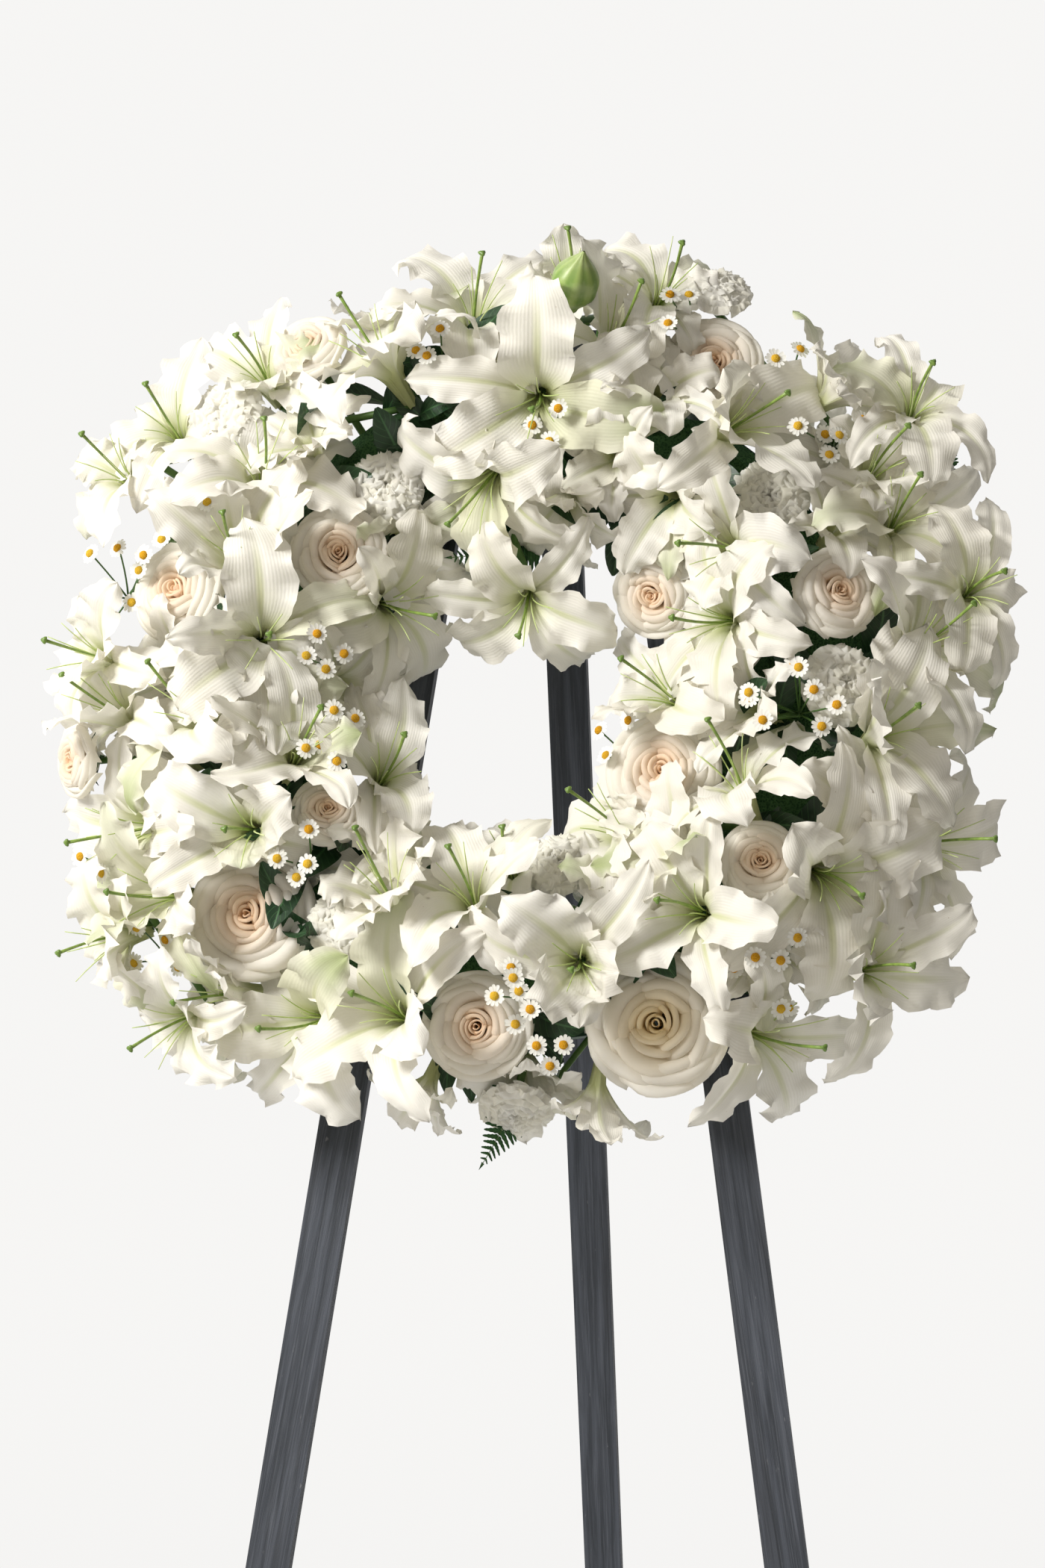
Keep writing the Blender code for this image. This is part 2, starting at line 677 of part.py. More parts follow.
def joints_of(angle, middle):
    """Where a node's stems may meet: just over the foam, with one trunk into it, or else inside it."""
    for turn in (0, 4, -4, 8, -8, 12, -12):
        core = core_point(angle + math.radians(turn), 0.006)
        for reach in (0.057, 0.065):
            for out in (0.0, 0.014, -0.014, 0.028, -0.028):
                rho = (middle.length + out) / middle.length
                spot = Matrix.Rotation(math.radians(turn), 3, "Z") @ middle * rho
                yield lifted(spot.x, spot.y, reach), core
    for turn in (0, 4, -4, 8, -8, 12, -12, 16, -16):
        for deep in (0.008, 0.0, 0.016):
            for out in (0.0, 0.014, -0.014, 0.028, -0.028):
                yield core_point(angle + math.radians(turn), deep, out), None


def choose_feet(blooms):
    """Give each node a meeting point from which its stems run clear of all others."""
    nodes = {}
    for bloom in blooms:
        nodes.setdefault(bloom.node, []).append(bloom)
    placed = []
    trunks = []
    least = 2 * STEM_R + 2 * HOLE_EXTRA
    balls = [(bloom, *bloom.ball()) for bloom in blooms]
    for node, members in nodes.items():
        middle = sum((Vector((b.at.x, b.at.y, 0)) for b in members), Vector()) / len(members)
        best = None
        for joint, core in joints_of(math.atan2(middle.y, middle.x), middle):
            if core and len(members) == 1:
                continue
            lines = [(member, member.base(), joint) for member in members]
            count = 0
            if core:
                for _, base, end in lines:
                    count += any(in_foam(base.lerp(end, i / 12), 0.006) for i in range(13))
                lines.append((None, joint, core))
            for member, base, end in lines:
                end = end + (end - base).normalized() * STEM_PAST
                count += sum(segment_gap(base, end, a, b) < least for a, b in placed)
                for other, centre, radius in balls:
                    if other is not member:
                        near = segment_gap(base, end, centre, centre + Vector((0, 0, MM)))
                        count += near < radius + STEM_R
            if best is None or count < best[0]:
                best = (count, joint, core)
            if count == 0:
                break
        _, joint, core = best
        for member in members:
            member.foot = joint
            placed.append((member.base(), joint + (joint - member.base()).normalized() * STEM_PAST))
        if core:
            trunks.append(Bloom(node, "trunk", joint, joint - core, 1.0, 0.0))
            trunks[-1].foot = core
            placed.append((joint, core))
    return trunks


def choose_heads(bloom, space, draw):
    """Daisy heads over a knot, each drawn again until it and its stalk are clear."""
    x, y, count, spread = bloom.row
    hub = hub_shape(bloom.at)
    free = list(hub[1])
    taken = []
    chosen = []
    for _ in range(count):
        for _ in range(60):
            angle = draw.uniform(0.0, math.tau)
            r = spread * MM * math.sqrt(draw.random())
            reach = HEAD_REACH + draw.uniform(-0.022, 0.016)
            at = lifted(x * MM + r * math.cos(angle), y * MM + r * math.sin(angle), reach)
            axis = outward(at) + Vector((draw.uniform(-0.4, 0.4), draw.uniform(-0.4, 0.4), 0.8))
            axis.normalize()
            spin = draw.uniform(0.0, 1.0)
            way = (at - bloom.at).normalized()
            face = max(free, key=lambda f: (sum((hub[0][i] for i in f), Vector()) / 3 - bloom.at).dot(way))
            trial = (list(hub[0]), [])
            grow_head(trial, face, at, axis, spin)
            if any((at - other).length < 2.1 * HEAD_R for other in taken) or not in_bounds(trial[0]):
                continue
            if not space.hits(grown(trial, at), lambda owner: owner in ((bloom, "stem"), (bloom, "stalk"))):
                free.remove(face)
                taken.append(at)
                chosen.append((face, at, axis, spin))
                space.add((bloom, "stalk"), trial)
                space.add((bloom, "head"), (trial[0], [f for f in trial[1] if min(f) > 11]))
                break
    space.add((bloom, "stem"), hub)
    shape = (list(hub[0]), free)
    for face, at, axis, spin in chosen:
        grow_head(shape, face, at, axis, spin)
    return shape


def grown(shape, centre):
    """A head and its stalk with the points past the knot pushed away from the head's centre."""
    points = [p if i < 12 else p + (p - centre).normalized() * CLEAR for i, p in enumerate(shape[0])]
    return points, shape[1]


def blade_shape(root, tip, rise, across_width, shares, widths, thick, roll=0.0):
    """A thin arched blade from root to tip, with lens-shaped cross-sections."""
    shape = ([], [])
    middle = root.lerp(tip, 0.5) + rise
    before = None

    def along(t):
        return root.lerp(middle, t).lerp(middle.lerp(tip, t), t)

    for share, wide in zip(shares, widths):
        here = along(share)
        ahead = (along(min(1.0, share + 0.05)) - along(max(0.0, share - 0.05))).normalized()
        across = ahead.cross(Vector((0.15, 0.1, 1.0))).normalized()
        normal = across.cross(ahead).normalized()
        across = (across * math.cos(roll) + normal * math.sin(roll)).normalized()
        normal = across.cross(ahead).normalized()
        half = wide * across_width / 2
        row = add_points(shape, [here - across * half, here + normal * thick, here + across * half])
        if before is None:
            shape[1].append(tuple(row))
        else:
            add_band(shape, before, row)
        before = row
    add_band(shape, before, add_points(shape, [along(1.0)]))
    return shape


LEAF_SHARES = (0.0, 0.30, 0.66)
LEAF_WIDTHS = (0.10, 0.86, 0.80)
FERN_PAIRS = 6


def fern_outline():
    """Shares along the frond and widths there, out at each leaflet's tip and in at each notch."""
    shares, widths = [0.0, 0.14], [0.06, 0.08]
    for i in range(FERN_PAIRS):
        share = 0.20 + 0.76 * i / FERN_PAIRS
        shares += [share + 0.055, share + 0.075]
        widths += [1.04 - share, 0.30 * (1.04 - share)]
    return shares, widths


def choose_blade(bloom, tip_row, space, fern):
    """The first of several lies of a frond or leaf that is clear of everything else."""
    aim = Vector([value * MM for value in tip_row]) + Vector((0, 0, CORE_Z))
    shares, widths = fern_outline() if fern else (LEAF_SHARES, LEAF_WIDTHS)
    wide = 0.050 if fern else 0.044
    start = bloom.at - outward(bloom.at) * 0.003
    for shrink in (1.0, 0.85, 0.7, 0.55):
        for lift in (0.0, 0.015, -0.015, 0.03, -0.03):
            for turn in (0, 12, -12, 24, -24, 36, -36):
                for roll in (0.0, 0.5, -0.5):
                    reach = (aim - start) * shrink
                    reach.rotate(Matrix.Rotation(math.radians(turn), 3, "Z"))
                    tip = start + reach + Vector((0, 0, lift))
                    rise = outward(bloom.at) * 0.012
                    size = wide * shrink
                    blade = blade_shape(start, tip, rise, size, shares, widths, LEAF_THICKNESS, roll)
                    if in_bounds(blade[0]) and not space.hits(blade, lambda owner: owner == (bloom, "stem")):
                        return blade
    return None


def ring_shape(profile):
    """A closed ring turned from a profile of (radius, height) points."""
    shape = ([], [])
    rows = []
    for i in range(RING_SIDES):
        a = math.tau * i / RING_SIDES
        rows.append(add_points(shape, [Vector((r * math.cos(a), r * math.sin(a), z)) for r, z in profile]))
    count = len(profile)
    for i in range(RING_SIDES):
        row, following = rows[i], rows[(i + 1) % RING_SIDES]
        for j in range(count):
            k = (j + 1) % count
            shape[1].append((row[j], row[k], following[k], following[j]))
    return shape


def tray_shape():
    inner, outer = RING_R - TRAY_HALF, RING_R + TRAY_HALF
    low, floor, rim, wall = SEAT, SEAT + TRAY_THICK, SEAT + TRAY_RIM, TRAY_WALL
    return ring_shape((
        (inner, low), (outer, low), (outer, rim), (outer - wall, rim), (outer - wall, floor),
        (inner + wall, floor), (inner + wall, rim), (inner, rim),
    ))


def foam_shape(grow=0.0):
    inner, outer = RING_R - FOAM_HALF - grow, RING_R + FOAM_HALF + grow
    low, top = 2 * SEAT + TRAY_THICK, FOAM_TOP + grow
    return ring_shape((
        (inner, low), (outer, low), (outer, top - FOAM_ROUND), (outer - FOAM_ROUND, top),
        (inner + FOAM_ROUND, top), (inner, top - FOAM_ROUND),
    ))


def arrange():
    """Every head placed and its petals bent clear: the blooms and trunks, and {node: [shapes]}."""
    draw = random.Random(5)
    blooms = make_blooms()
    spread_heads(blooms)
    lift_off_foam(blooms)
    trunks = choose_feet(blooms)
    space = Space()
    space.add(("base", "stem"), tray_shape())
    space.add(("base", "stem"), foam_shape(MM))
    shapes = {bloom.node: [] for bloom in blooms}
    for trunk in trunks:
        shapes[trunk.node].append(stem_only(trunk.at, trunk.foot, STEM_R))
        space.add((trunk, "stem"), shapes[trunk.node][-1])
    for bloom in blooms:
        if bloom.kind == "lily":
            space.add((bloom, "core"), lily_shape(bloom, with_petals=False))
            continue
        if bloom.kind in ("twig", "root"):
            shape = stem_only(bloom.at, bloom.foot, STEM_R * 0.8)
        else:
            shape = bud_shape(bloom) if bloom.kind == "bud" else round_shape(bloom)
        shapes[bloom.node].append(shape)
        space.add((bloom, "stem"), shape)
    for bloom in blooms:
        if bloom.kind == "twig":
            shapes[bloom.node].append(choose_heads(bloom, space, draw))
    for bloom in blooms:
        if bloom.kind in OPEN_SHARE:
            space.add((bloom, "open way"), open_way(bloom))
    lilies = sorted((b for b in blooms if b.kind == "lily"), key=lambda b: -b.axis.z * b.size)
    for bloom in lilies:
        choose_petals(bloom, space, draw)
        shapes[bloom.node].append(lily_shape(bloom))
    for bloom in blooms:
        if bloom.kind == "root":
            for tip_row in bloom.row[2:]:
                blade = choose_blade(bloom, tip_row, space, bloom.node in FERNS)
                if blade:
                    shapes[bloom.node].append(blade)
                    space.add((bloom, "blade"), blade)
    return blooms + trunks, shapes


def clear_scene():
    for obj in list(bpy.data.objects):
        bpy.data.objects.remove(obj, do_unlink=True)


def material_of(name, look):
    colour, roughness, metallic = look
    material = bpy.data.materials.get(name) or bpy.data.materials.new(name)
    material.use_nodes = True
    shader = material.node_tree.nodes["Principled BSDF"]
    shader.inputs["Base Color"].default_value = (*colour, 1.0)
    shader.inputs["Roughness"].default_value = roughness
    shader.inputs["Metallic"].default_value = metallic
    material.diffuse_color = (*colour, 1.0)
    return material


def new_object(name, data, look, parent, collection=None):
    obj = bpy.data.objects.new(name, data)
    if look:
        obj.data.materials.append(material_of(*look))
    obj.parent = parent
    (collection or bpy.context.scene.collection).objects.link(obj)
    return obj


def mesh_of(name, shape):
    mesh = bpy.data.meshes.new(name)
    mesh.from_pydata([tuple(p) for p in shape[0]], [], shape[1])
    body = bmesh.new()
    body.from_mesh(mesh)
    bmesh.ops.recalc_face_normals(body, faces=body.faces)
    body.to_mesh(mesh)
    body.free()
    return mesh


def prism_shape(rows):
    """A closed solid through rows of points that all have the same count."""
    shape = ([], [])
    before = None
    for row in rows:
        row = add_points(shape, row)
        count = len(row)
        if before:
            for i in range(count):
                j = (i + 1) % count
                shape[1].append((before[i], before[j], row[j], row[i]))
        else:
            shape[1].append(tuple(row))
        before = row
    shape[1].append(tuple(before))
    return shape


def box_shape(low, high):
    (x0, y0, z0), (x1, y1, z1) = low, high
    corners = ((x0, y0), (x1, y0), (x1, y1), (x0, y1))
    return prism_shape([[Vector((x, y, z)) for x, y in corners] for z in (z0, z1)])


def rod_shape(x0, x1, y, z, radius, sides=8):
    """A round rod along x."""
    turns = [math.tau * i / sides for i in range(sides)]
    ring = [(y + radius * math.cos(a), z + radius * math.sin(a)) for a in turns]
    return prism_shape([[Vector((x, *place)) for place in ring] for x in (x0, x1)])


def combine(name, first, others, operation, look, parent, solver="EXACT"):
    """The first shape joined to the others, or cut by them, as one object."""
    obj = new_object(name, mesh_of(name, first), look, parent)
    if not others:
        return obj
    holder = bpy.data.collections.new(name + "_tools")
    bpy.context.scene.collection.children.link(holder)
    for i, shape in enumerate(others):
        tool = new_object(f"{name}_tool_{i}", mesh_of(f"{name}_tool_{i}", shape), None, parent, holder)
        tool.hide_render = True
        tool.display_type = "WIRE"
    modifier = obj.modifiers.new("combine", "BOOLEAN")
    modifier.operation = operation
    modifier.solver = solver
    modifier.operand_type = "COLLECTION"
    modifier.collection = holder
    bpy.context.view_layer.update()
    graph = bpy.context.evaluated_depsgraph_get()
    mesh = bpy.data.meshes.new_from_object(obj.evaluated_get(graph))
    obj.modifiers.clear()
    old = obj.data
    obj.data = mesh
    bpy.data.meshes.remove(old)
    for tool in list(holder.objects):
        bpy.data.objects.remove(tool, do_unlink=True)
    bpy.data.collections.remove(holder)
    mesh.name = name
    return obj


def plank(name, top, width_dir, thick_dir, direction, parent, matrix):
    """A board from its square top down to the floor, where it is cut flat."""
    half = width_dir * (LEG_WIDTH / 2)
    corners = [top - half, top + half, top + half + thick_dir * LEG_THICK, top - half + thick_dir * LEG_THICK]
    fall = (matrix.to_3x3() @ direction).z
    floor = [c + direction * (-(matrix @ c).z / fall) for c in corners]
    return new_object(name, mesh_of(name, prism_shape([corners, floor])), ("charcoal_wood", WOOD), parent)


def make_easel(frame, hinge):
    """Two front legs, two rails behind them, the hinged rear leg and its butt hinge."""
    matrix = frame.matrix_world
    floor_y = -WREATH_HEIGHT / math.cos(LEAN)
    splay = (LEG_HALF_FLOOR - LEG_HALF_TOP) / (LEG_TOP - floor_y)
    back = Vector((0.0, 0.0, -1.0))
    for name, sign in (("front_leg_left", -1), ("front_leg_right", 1)):
        direction = Vector((sign * splay, -1.0, 0.0)).normalized()
        across = Vector((-direction.y, direction.x, 0.0))
        plank(name, Vector((sign * LEG_HALF_TOP, LEG_TOP, 0.0)), across, back, direction, frame, matrix)
    rail_front = -(LEG_THICK + SEAT)
    rail_back = rail_front - LEG_THICK
    half_high = RAIL_HEIGHT_MIDDLE / 2
    rails = (
        ("top_rail", RAIL_HALF_TOP, LEG_TOP - RAIL_HEIGHT_TOP, LEG_TOP),
        ("middle_rail", RAIL_HALF_MIDDLE, RAIL_Y_MIDDLE - half_high, RAIL_Y_MIDDLE + half_high),
    )
    for name, half, low, high in rails:
        shape = box_shape((-half, low, rail_back), (half, high, rail_front))
        new_object(name, mesh_of(name, shape), ("charcoal_wood", WOOD), frame)
    opened = LEAN + REAR_LEAN
    past = (AXIS_OFF - SEAT + AXIS_OFF * math.cos(opened)) / math.sin(opened)
    top = Vector((0.0, past, -AXIS_OFF))
    plank("rear_leg", top, Vector((1.0, 0.0, 0.0)), back, Vector((0.0, -1.0, 0.0)), hinge, hinge.matrix_world)


def make_hinge(frame, hinge):
    third = LEAF_WIDE / 3
    gap = KNUCKLE_GAP / 2
    half = LEAF_WIDE / 2
    tongue_end = -KNUCKLE_R * 1.2
    near = AXIS_OFF - SEAT - LEAF_THICK
    far = AXIS_OFF - SEAT
    outer = ((-half, -half + third - gap), (half - third + gap, half))
    middle = (-half + third + gap, half - third - gap)
    shift = Vector((0.0, *axis_place()))

    def moved(shape, by):
        return [p + by for p in shape[0]], shape[1]

    plate = box_shape((-half, -LEAF_LONG, near), (half, tongue_end, far))
    parts = [box_shape((a, tongue_end - SEAT, near), (b, 0.0, far)) for a, b in outer]
    parts += [rod_shape(a, b, 0.0, 0.0, KNUCKLE_R) for a, b in outer]
    look = ("hinge_steel", STEEL)
    parts = [moved(p, shift) for p in parts]
    leaf = combine("hinge_leaf_fixed", moved(plate, shift), parts, "UNION", look, frame)
    bore = moved(rod_shape(-LEAF_WIDE, LEAF_WIDE, 0.0, 0.0, PIN_BORE_R), shift)
    cut_through(leaf, bore, frame)
    plate = box_shape((-half, -LEAF_LONG, -far), (half, tongue_end, -near))
    parts = [box_shape((middle[0], tongue_end - SEAT, -far), (middle[1], 0.0, -near))]
    parts.append(rod_shape(*middle, 0.0, 0.0, KNUCKLE_R))
    parts.append(rod_shape(-half - MM, half + MM, 0.0, 0.0, PIN_R))
    combine("hinge_leaf_moving", plate, parts, "UNION", look, hinge)


def cut_through(obj, shape, parent):
    """Cut one shape out of an object with a Boolean that stays on it."""
    cutter = new_object(obj.name + "_bore", mesh_of(obj.name + "_bore", shape), None, parent)
    cutter.hide_render = True
    cutter.display_type = "WIRE"
    modifier = obj.modifiers.new("bore", "BOOLEAN")
    modifier.operation = "DIFFERENCE"
    modifier.object = cutter


def make_hanger(frame):
    """A steel hook in the top rail and the wire loop on the tray that hangs on it."""
    rail = -(LEG_THICK + SEAT)
    end = rail + HOOK_OUT
    hook = bpy.data.curves.new("wreath_hook", "CURVE")
    tube(hook, [(0, HOOK_Y, rail + SEAT), (0, HOOK_Y, end - 3 * MM), (0, HOOK_Y + MM, end - MM),
                (0, HOOK_Y + 3 * MM, end), (0, HOOK_Y + HOOK_UP, end)], HOOK_R)
    new_object("wreath_hook", hook, ("hook_steel", STEEL), frame)
    wire = bpy.data.curves.new("hanger_wire", "CURVE")
    top = HOOK_Y + HOOK_R + WIRE_R + SEAT
    low = RING_R + TRAY_HALF / 2
    points = []
    for i in range(9):
        angle = math.pi * (1 - i / 8)
        rise = math.sin(angle) ** 0.7
        points.append((WIRE_HALF * math.cos(angle), low + (top - low) * rise, -WIRE_R - 0.008 * rise))
    tube(wire, points, WIRE_R)
    new_object("hanger_wire", wire, ("hook_steel", STEEL), frame)


def tube(curve, points, radius):
    curve.dimensions = "3D"
    curve.bevel_depth = radius
    curve.bevel_resolution = 0
    curve.use_fill_caps = True
    spline = curve.splines.new("POLY")
    spline.points.add(len(points) - 1)
    for point, place in zip(spline.points, points):
        point.co = (*place, 1.0)


def make_base(frame, blooms):
    """The plastic tray and the foam ring with a plain hole for each stem."""
    new_object("wreath_tray", mesh_of("wreath_tray", tray_shape()), ("tray_plastic", TRAY_PLASTIC), frame)
    holes = []
    for bloom in blooms:
        if not in_foam(bloom.foot, 0.0):
            continue
        along = (bloom.base() - bloom.foot).normalized()
        radius = (STEM_R if bloom.kind not in ("twig", "root") else STEM_R * 0.8) + HOLE_EXTRA
        deep = bloom.foot - along * (STEM_PAST + 2 * MM)
        high = bloom.base() + along * HOLE_PAST
        holes.append(prism_shape([circle(deep, along, radius, 3), circle(high, along, radius, 3)]))
    combine("foam_ring", foam_shape(), holes, "DIFFERENCE", ("floral_foam", FOAM_GREEN), frame, "MANIFOLD")


def axis_place():
    """The hinge axis in the leaning plane: y up the slope, z out to the front."""
    return LEG_TOP - AXIS_BELOW_TOP, -(2 * LEG_THICK + SEAT + AXIS_OFF)


def look_of(node):
    for table, look in (
        (LILIES, ("lily_petal", LILY_WHITE)),
        (ROSES, ("rose_petal", ROSE_CREAM)),
        (CARNATIONS, ("carnation_petal", CARNATION_WHITE)),
        (SPRAYS, ("chamomile", CHAMOMILE_WHITE)),
        (FERNS, ("fern_leaf", FERN_GREEN)),
        (LEAVES, ("broad_leaf", LEAF_GREEN)),
    ):
        if node in table:
            return look
    return None


def stand_on_floor(frame):
    """Move the whole part so that the middle of its box's underside is at the origin."""
    bpy.context.view_layer.update()
    graph = bpy.context.evaluated_depsgraph_get()
    points = []
    for obj in bpy.data.objects:
        if obj.type in ("MESH", "CURVE") and not obj.hide_render:
            evaluated = obj.evaluated_get(graph)
            points += [evaluated.matrix_world @ v.co for v in evaluated.to_mesh().vertices]
            evaluated.to_mesh_clear()
    for axis in (0, 1):
        frame.location[axis] -= (min(p[axis] for p in points) + max(p[axis] for p in points)) / 2
    bpy.context.view_layer.update()


def main():
    clear_scene()
    frame = bpy.data.objects.new("front_frame", None)
    frame.location = (0.0, 0.0, WREATH_HEIGHT)
    frame.rotation_euler = (math.pi / 2 - LEAN, 0.0, 0.0)
    hinge = bpy.data.objects.new("rear_leg_hinge", None)
    hinge.parent = frame
    hinge.location = (0.0, *axis_place())
    hinge.rotation_euler = (LEAN + REAR_LEAN, 0.0, 0.0)
    for empty in (frame, hinge):
        bpy.context.scene.collection.objects.link(empty)
    bpy.context.view_layer.update()
    make_easel(frame, hinge)
    make_hinge(frame, hinge)
    make_hanger(frame)
    blooms, shapes = arrange()
    make_base(frame, blooms)
    for node, pieces in shapes.items():
        combine(node, pieces[0], pieces[1:], "UNION", look_of(node), frame, "MANIFOLD")
    stand_on_floor(frame)


main()
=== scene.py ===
"""The dressed standing wreath: fine flowers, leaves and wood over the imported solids.

The layout comes first, with the same values and the same draws as in the part's own source, so
that each fine petal, head and leaf lies where its solid lies. It is laid out in the plane that
leans back with the front legs: x to the right, y up the slope, z out to the front.
"""

import math
import random

import bpy
from mathutils import Matrix, Vector
from mathutils.bvhtree import BVHTree


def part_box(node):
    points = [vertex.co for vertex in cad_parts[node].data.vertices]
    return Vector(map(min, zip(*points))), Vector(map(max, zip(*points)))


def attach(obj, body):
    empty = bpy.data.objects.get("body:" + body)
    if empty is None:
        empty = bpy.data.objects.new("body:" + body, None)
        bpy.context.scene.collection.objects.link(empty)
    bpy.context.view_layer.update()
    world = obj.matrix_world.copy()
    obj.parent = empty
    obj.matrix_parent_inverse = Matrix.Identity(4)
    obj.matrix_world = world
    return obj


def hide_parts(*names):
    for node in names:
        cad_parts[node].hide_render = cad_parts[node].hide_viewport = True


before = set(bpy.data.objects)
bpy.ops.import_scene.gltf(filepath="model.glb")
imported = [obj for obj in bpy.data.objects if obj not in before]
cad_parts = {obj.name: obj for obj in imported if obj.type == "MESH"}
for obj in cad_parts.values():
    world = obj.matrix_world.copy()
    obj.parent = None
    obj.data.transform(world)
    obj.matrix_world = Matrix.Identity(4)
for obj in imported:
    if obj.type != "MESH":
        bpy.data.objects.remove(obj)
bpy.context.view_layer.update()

LEAN = math.radians(10.0)
WREATH_HEIGHT = 1.163
MM = 0.001
SEAT = 0.0003  # gap between pieces that touch

# Tray and foam ring
RING_R = 0.235  # middle of the foam
RING_SIDES = 24
TRAY_HALF = 0.054
TRAY_THICK = 0.004
TRAY_RIM = 0.014
TRAY_WALL = 0.0035
FOAM_HALF = 0.0475
FOAM_TOP = 0.0596
FOAM_ROUND = 0.014
CORE_Z = 0.032  # where the stems aim

# Flowers
STEM_R = 0.0034
HOLE_EXTRA = 0.0018
STEM_PAST = 0.005  # a node's stems run this far past the point where they meet
LILY_REACH = 0.088  # throat's distance from the foam's core
ROSE_REACH = 0.092
CARNATION_REACH = 0.082
PISTIL = 0.085
THROAT_R = 0.009
THROAT_DEEP = 0.012
LILY_CONE = 0.030
LILY_CORE_R = 0.017
TWIG_CORE_R = 0.006
PETAL_LONG = 0.112
PETAL_THICK = 0.0022
PETAL_WIDE = (0.042, 0.031)  # the three inner petals and the three outer
PETAL_START = (math.radians(14.0), math.radians(30.0))
PETAL_ROWS = ((0.36, 0.74), (0.52,))
PETAL_PARTS = 8  # short steps that a petal's bend is summed over
BEND_POWER = 0.8
BENDS = (118, 134, 102, 150, 86, 70, 168, 54, 40, 28)
SHRINKS = (1.0, 0.88, 0.76, 0.64, 0.52, 0.40)
YAWS = (0, 12, -12, 22, -22)
CLEAR = 0.0019
TO_VIEWER = Vector((0.0, -math.sin(LEAN), math.cos(LEAN)))
OPEN_SHARE = {"rose": 0.41, "carnation": 0.36}  # of a head's width, kept open in front of it
OPEN_LONG = 0.15
SPREAD_ROUNDS = 40

# What the flowers keep to
OUTLINE = (0.408, 0.392, 2.7)  # half width, half height and power of the wreath's outline
OUTLINE_Y = 0.006
FRONT_MOST = 0.215
BACK_MOST = 0.006
HOLE_X = (-0.092, 0.040)
HOLE_Y = (-0.104, 0.032)

# Lilies by node, in mm: throat x, y, then where the pistil's tip shows, x, y, then size
LILIES = {
    "lilies_top": ((6, 246, 9, 214, 1.12), (-57, 317, -43, 368, 0.95), (60, 290, 95, 335, 0.95)),
    "lilies_crown": ((25, 340, 29, 392, 0.85), (100, 338, 128, 376, 0.85)),
    "lilies_top_inner": ((-33, 184, -64, 126, 1.0), (-6, 84, -6, 34, 0.9)),
    "lilies_top_left": (
        (-122, 270, -168, 337, 1.0),
        (-234, 272, -252, 300, 0.9),
        (-233, 171, -219, 216, 0.95),
    ),
    "lilies_upper_left": ((-297, 234, -315, 266, 0.85), (-352, 186, -385, 215, 0.8)),
    "lilies_left_inner": (
        (-129, 79, -75, 54, 0.9),
        (-224, 36, -204, 24, 1.05),
        (-244, 100, -248, 130, 0.95),
    ),
    "lilies_left": ((-265, -38, -312, 9, 1.0), (-366, 30, -410, 34, 0.85), (-343, -23, -394, 6, 0.95)),
    "lilies_left_low": (
        (-321, -114, -385, -136, 1.0),
        (-230, -143, -238, -156, 1.0),
        (-195, -67, -161, -31, 0.9),
        (-129, -76, -97, -45, 0.85),
    ),
    "lilies_low_left": (
        (-290, -176, -339, -184, 0.95),
        (-283, -275, -326, -312, 0.85),
        (-340, -208, -388, -232, 0.9),
    ),
    "lilies_foot_left": (
        (-237, -232, -291, -248, 0.95),
        (-173, -277, -214, -294, 1.0),
        (-91, -278, -122, -268, 1.05),
    ),
    "lilies_bottom_inner": (
        (-106, -190, -133, -132, 1.0),
        (-40, -190, -56, -146, 0.9),
    ),
    "lilies_bottom": ((48, -235, 50, -252, 1.0), (-2, -150, -4, -116, 0.70), (149, -194, 116, -194, 0.9)),
    "lilies_bottom_right": (
        (171, -284, 235, -303, 1.0),
        (277, -234, 322, -239, 1.0),
        (243, -157, 280, -186, 1.1),
    ),
    "lilies_right_inner": ((86, -118, 37, -85, 0.9), (184, -103, 154, -42, 0.9)),
    "lilies_right": ((318, -129, 388, -131, 1.0), (282, -36, 322, -21, 1.0)),
    "lilies_right_side": (
        (168, 56, 122, 44, 0.9),
        (175, 112, 128, 104, 0.9),
        (160, 213, 216, 230, 1.1),
        (120, -13, 75, 14, 0.85),
    ),
    "lilies_right_high": ((309, 30, 364, 61, 1.0), (300, 140, 328, 172, 0.9), (365, 84, 398, 88, 0.85)),
    "lilies_upper_right": ((280, 182, 318, 215, 0.9), (316, 236, 338, 268, 0.85)),
}
BUD = ("lilies_crown", 30, 318, 0.30, 0.60, 50)  # node, x, y, lean in x and y, length

# Roses and carnations, in mm: x, y, how far the face leans in x and y, diameter
ROSES = {
    "rose_inner_left": ((-159, 118, 0.10, 0.05, 78),),
    "rose_left": ((-297, 86, -0.45, 0.15, 86),),
    "rose_top_left": ((-202, 289, -0.30, 0.40, 66),),
    "rose_top_right": ((149, 285, 0.10, 0.20, 80),),
    "rose_inner_right": ((106, 88, -0.30, -0.35, 70),),
    "rose_right": ((251, 74, 0.45, 0.10, 74),),
    "rose_low_inner_right": ((113, -71, -0.10, 0.10, 92),),
    "rose_low_right": ((195, -149, 0.05, 0.10, 66),),
    "rose_bottom_right": ((125, -278, 0.00, -0.15, 116),),
    "rose_bottom": ((-45, -283, 0.00, -0.15, 86),),
    "rose_low_left": ((-236, -191, -0.15, -0.05, 106),),
    "rose_low_inner_left": ((-166, -112, 0.10, 0.30, 60),),
    "rose_left_edge": ((-380, -56, -0.80, -0.10, 62),),
}
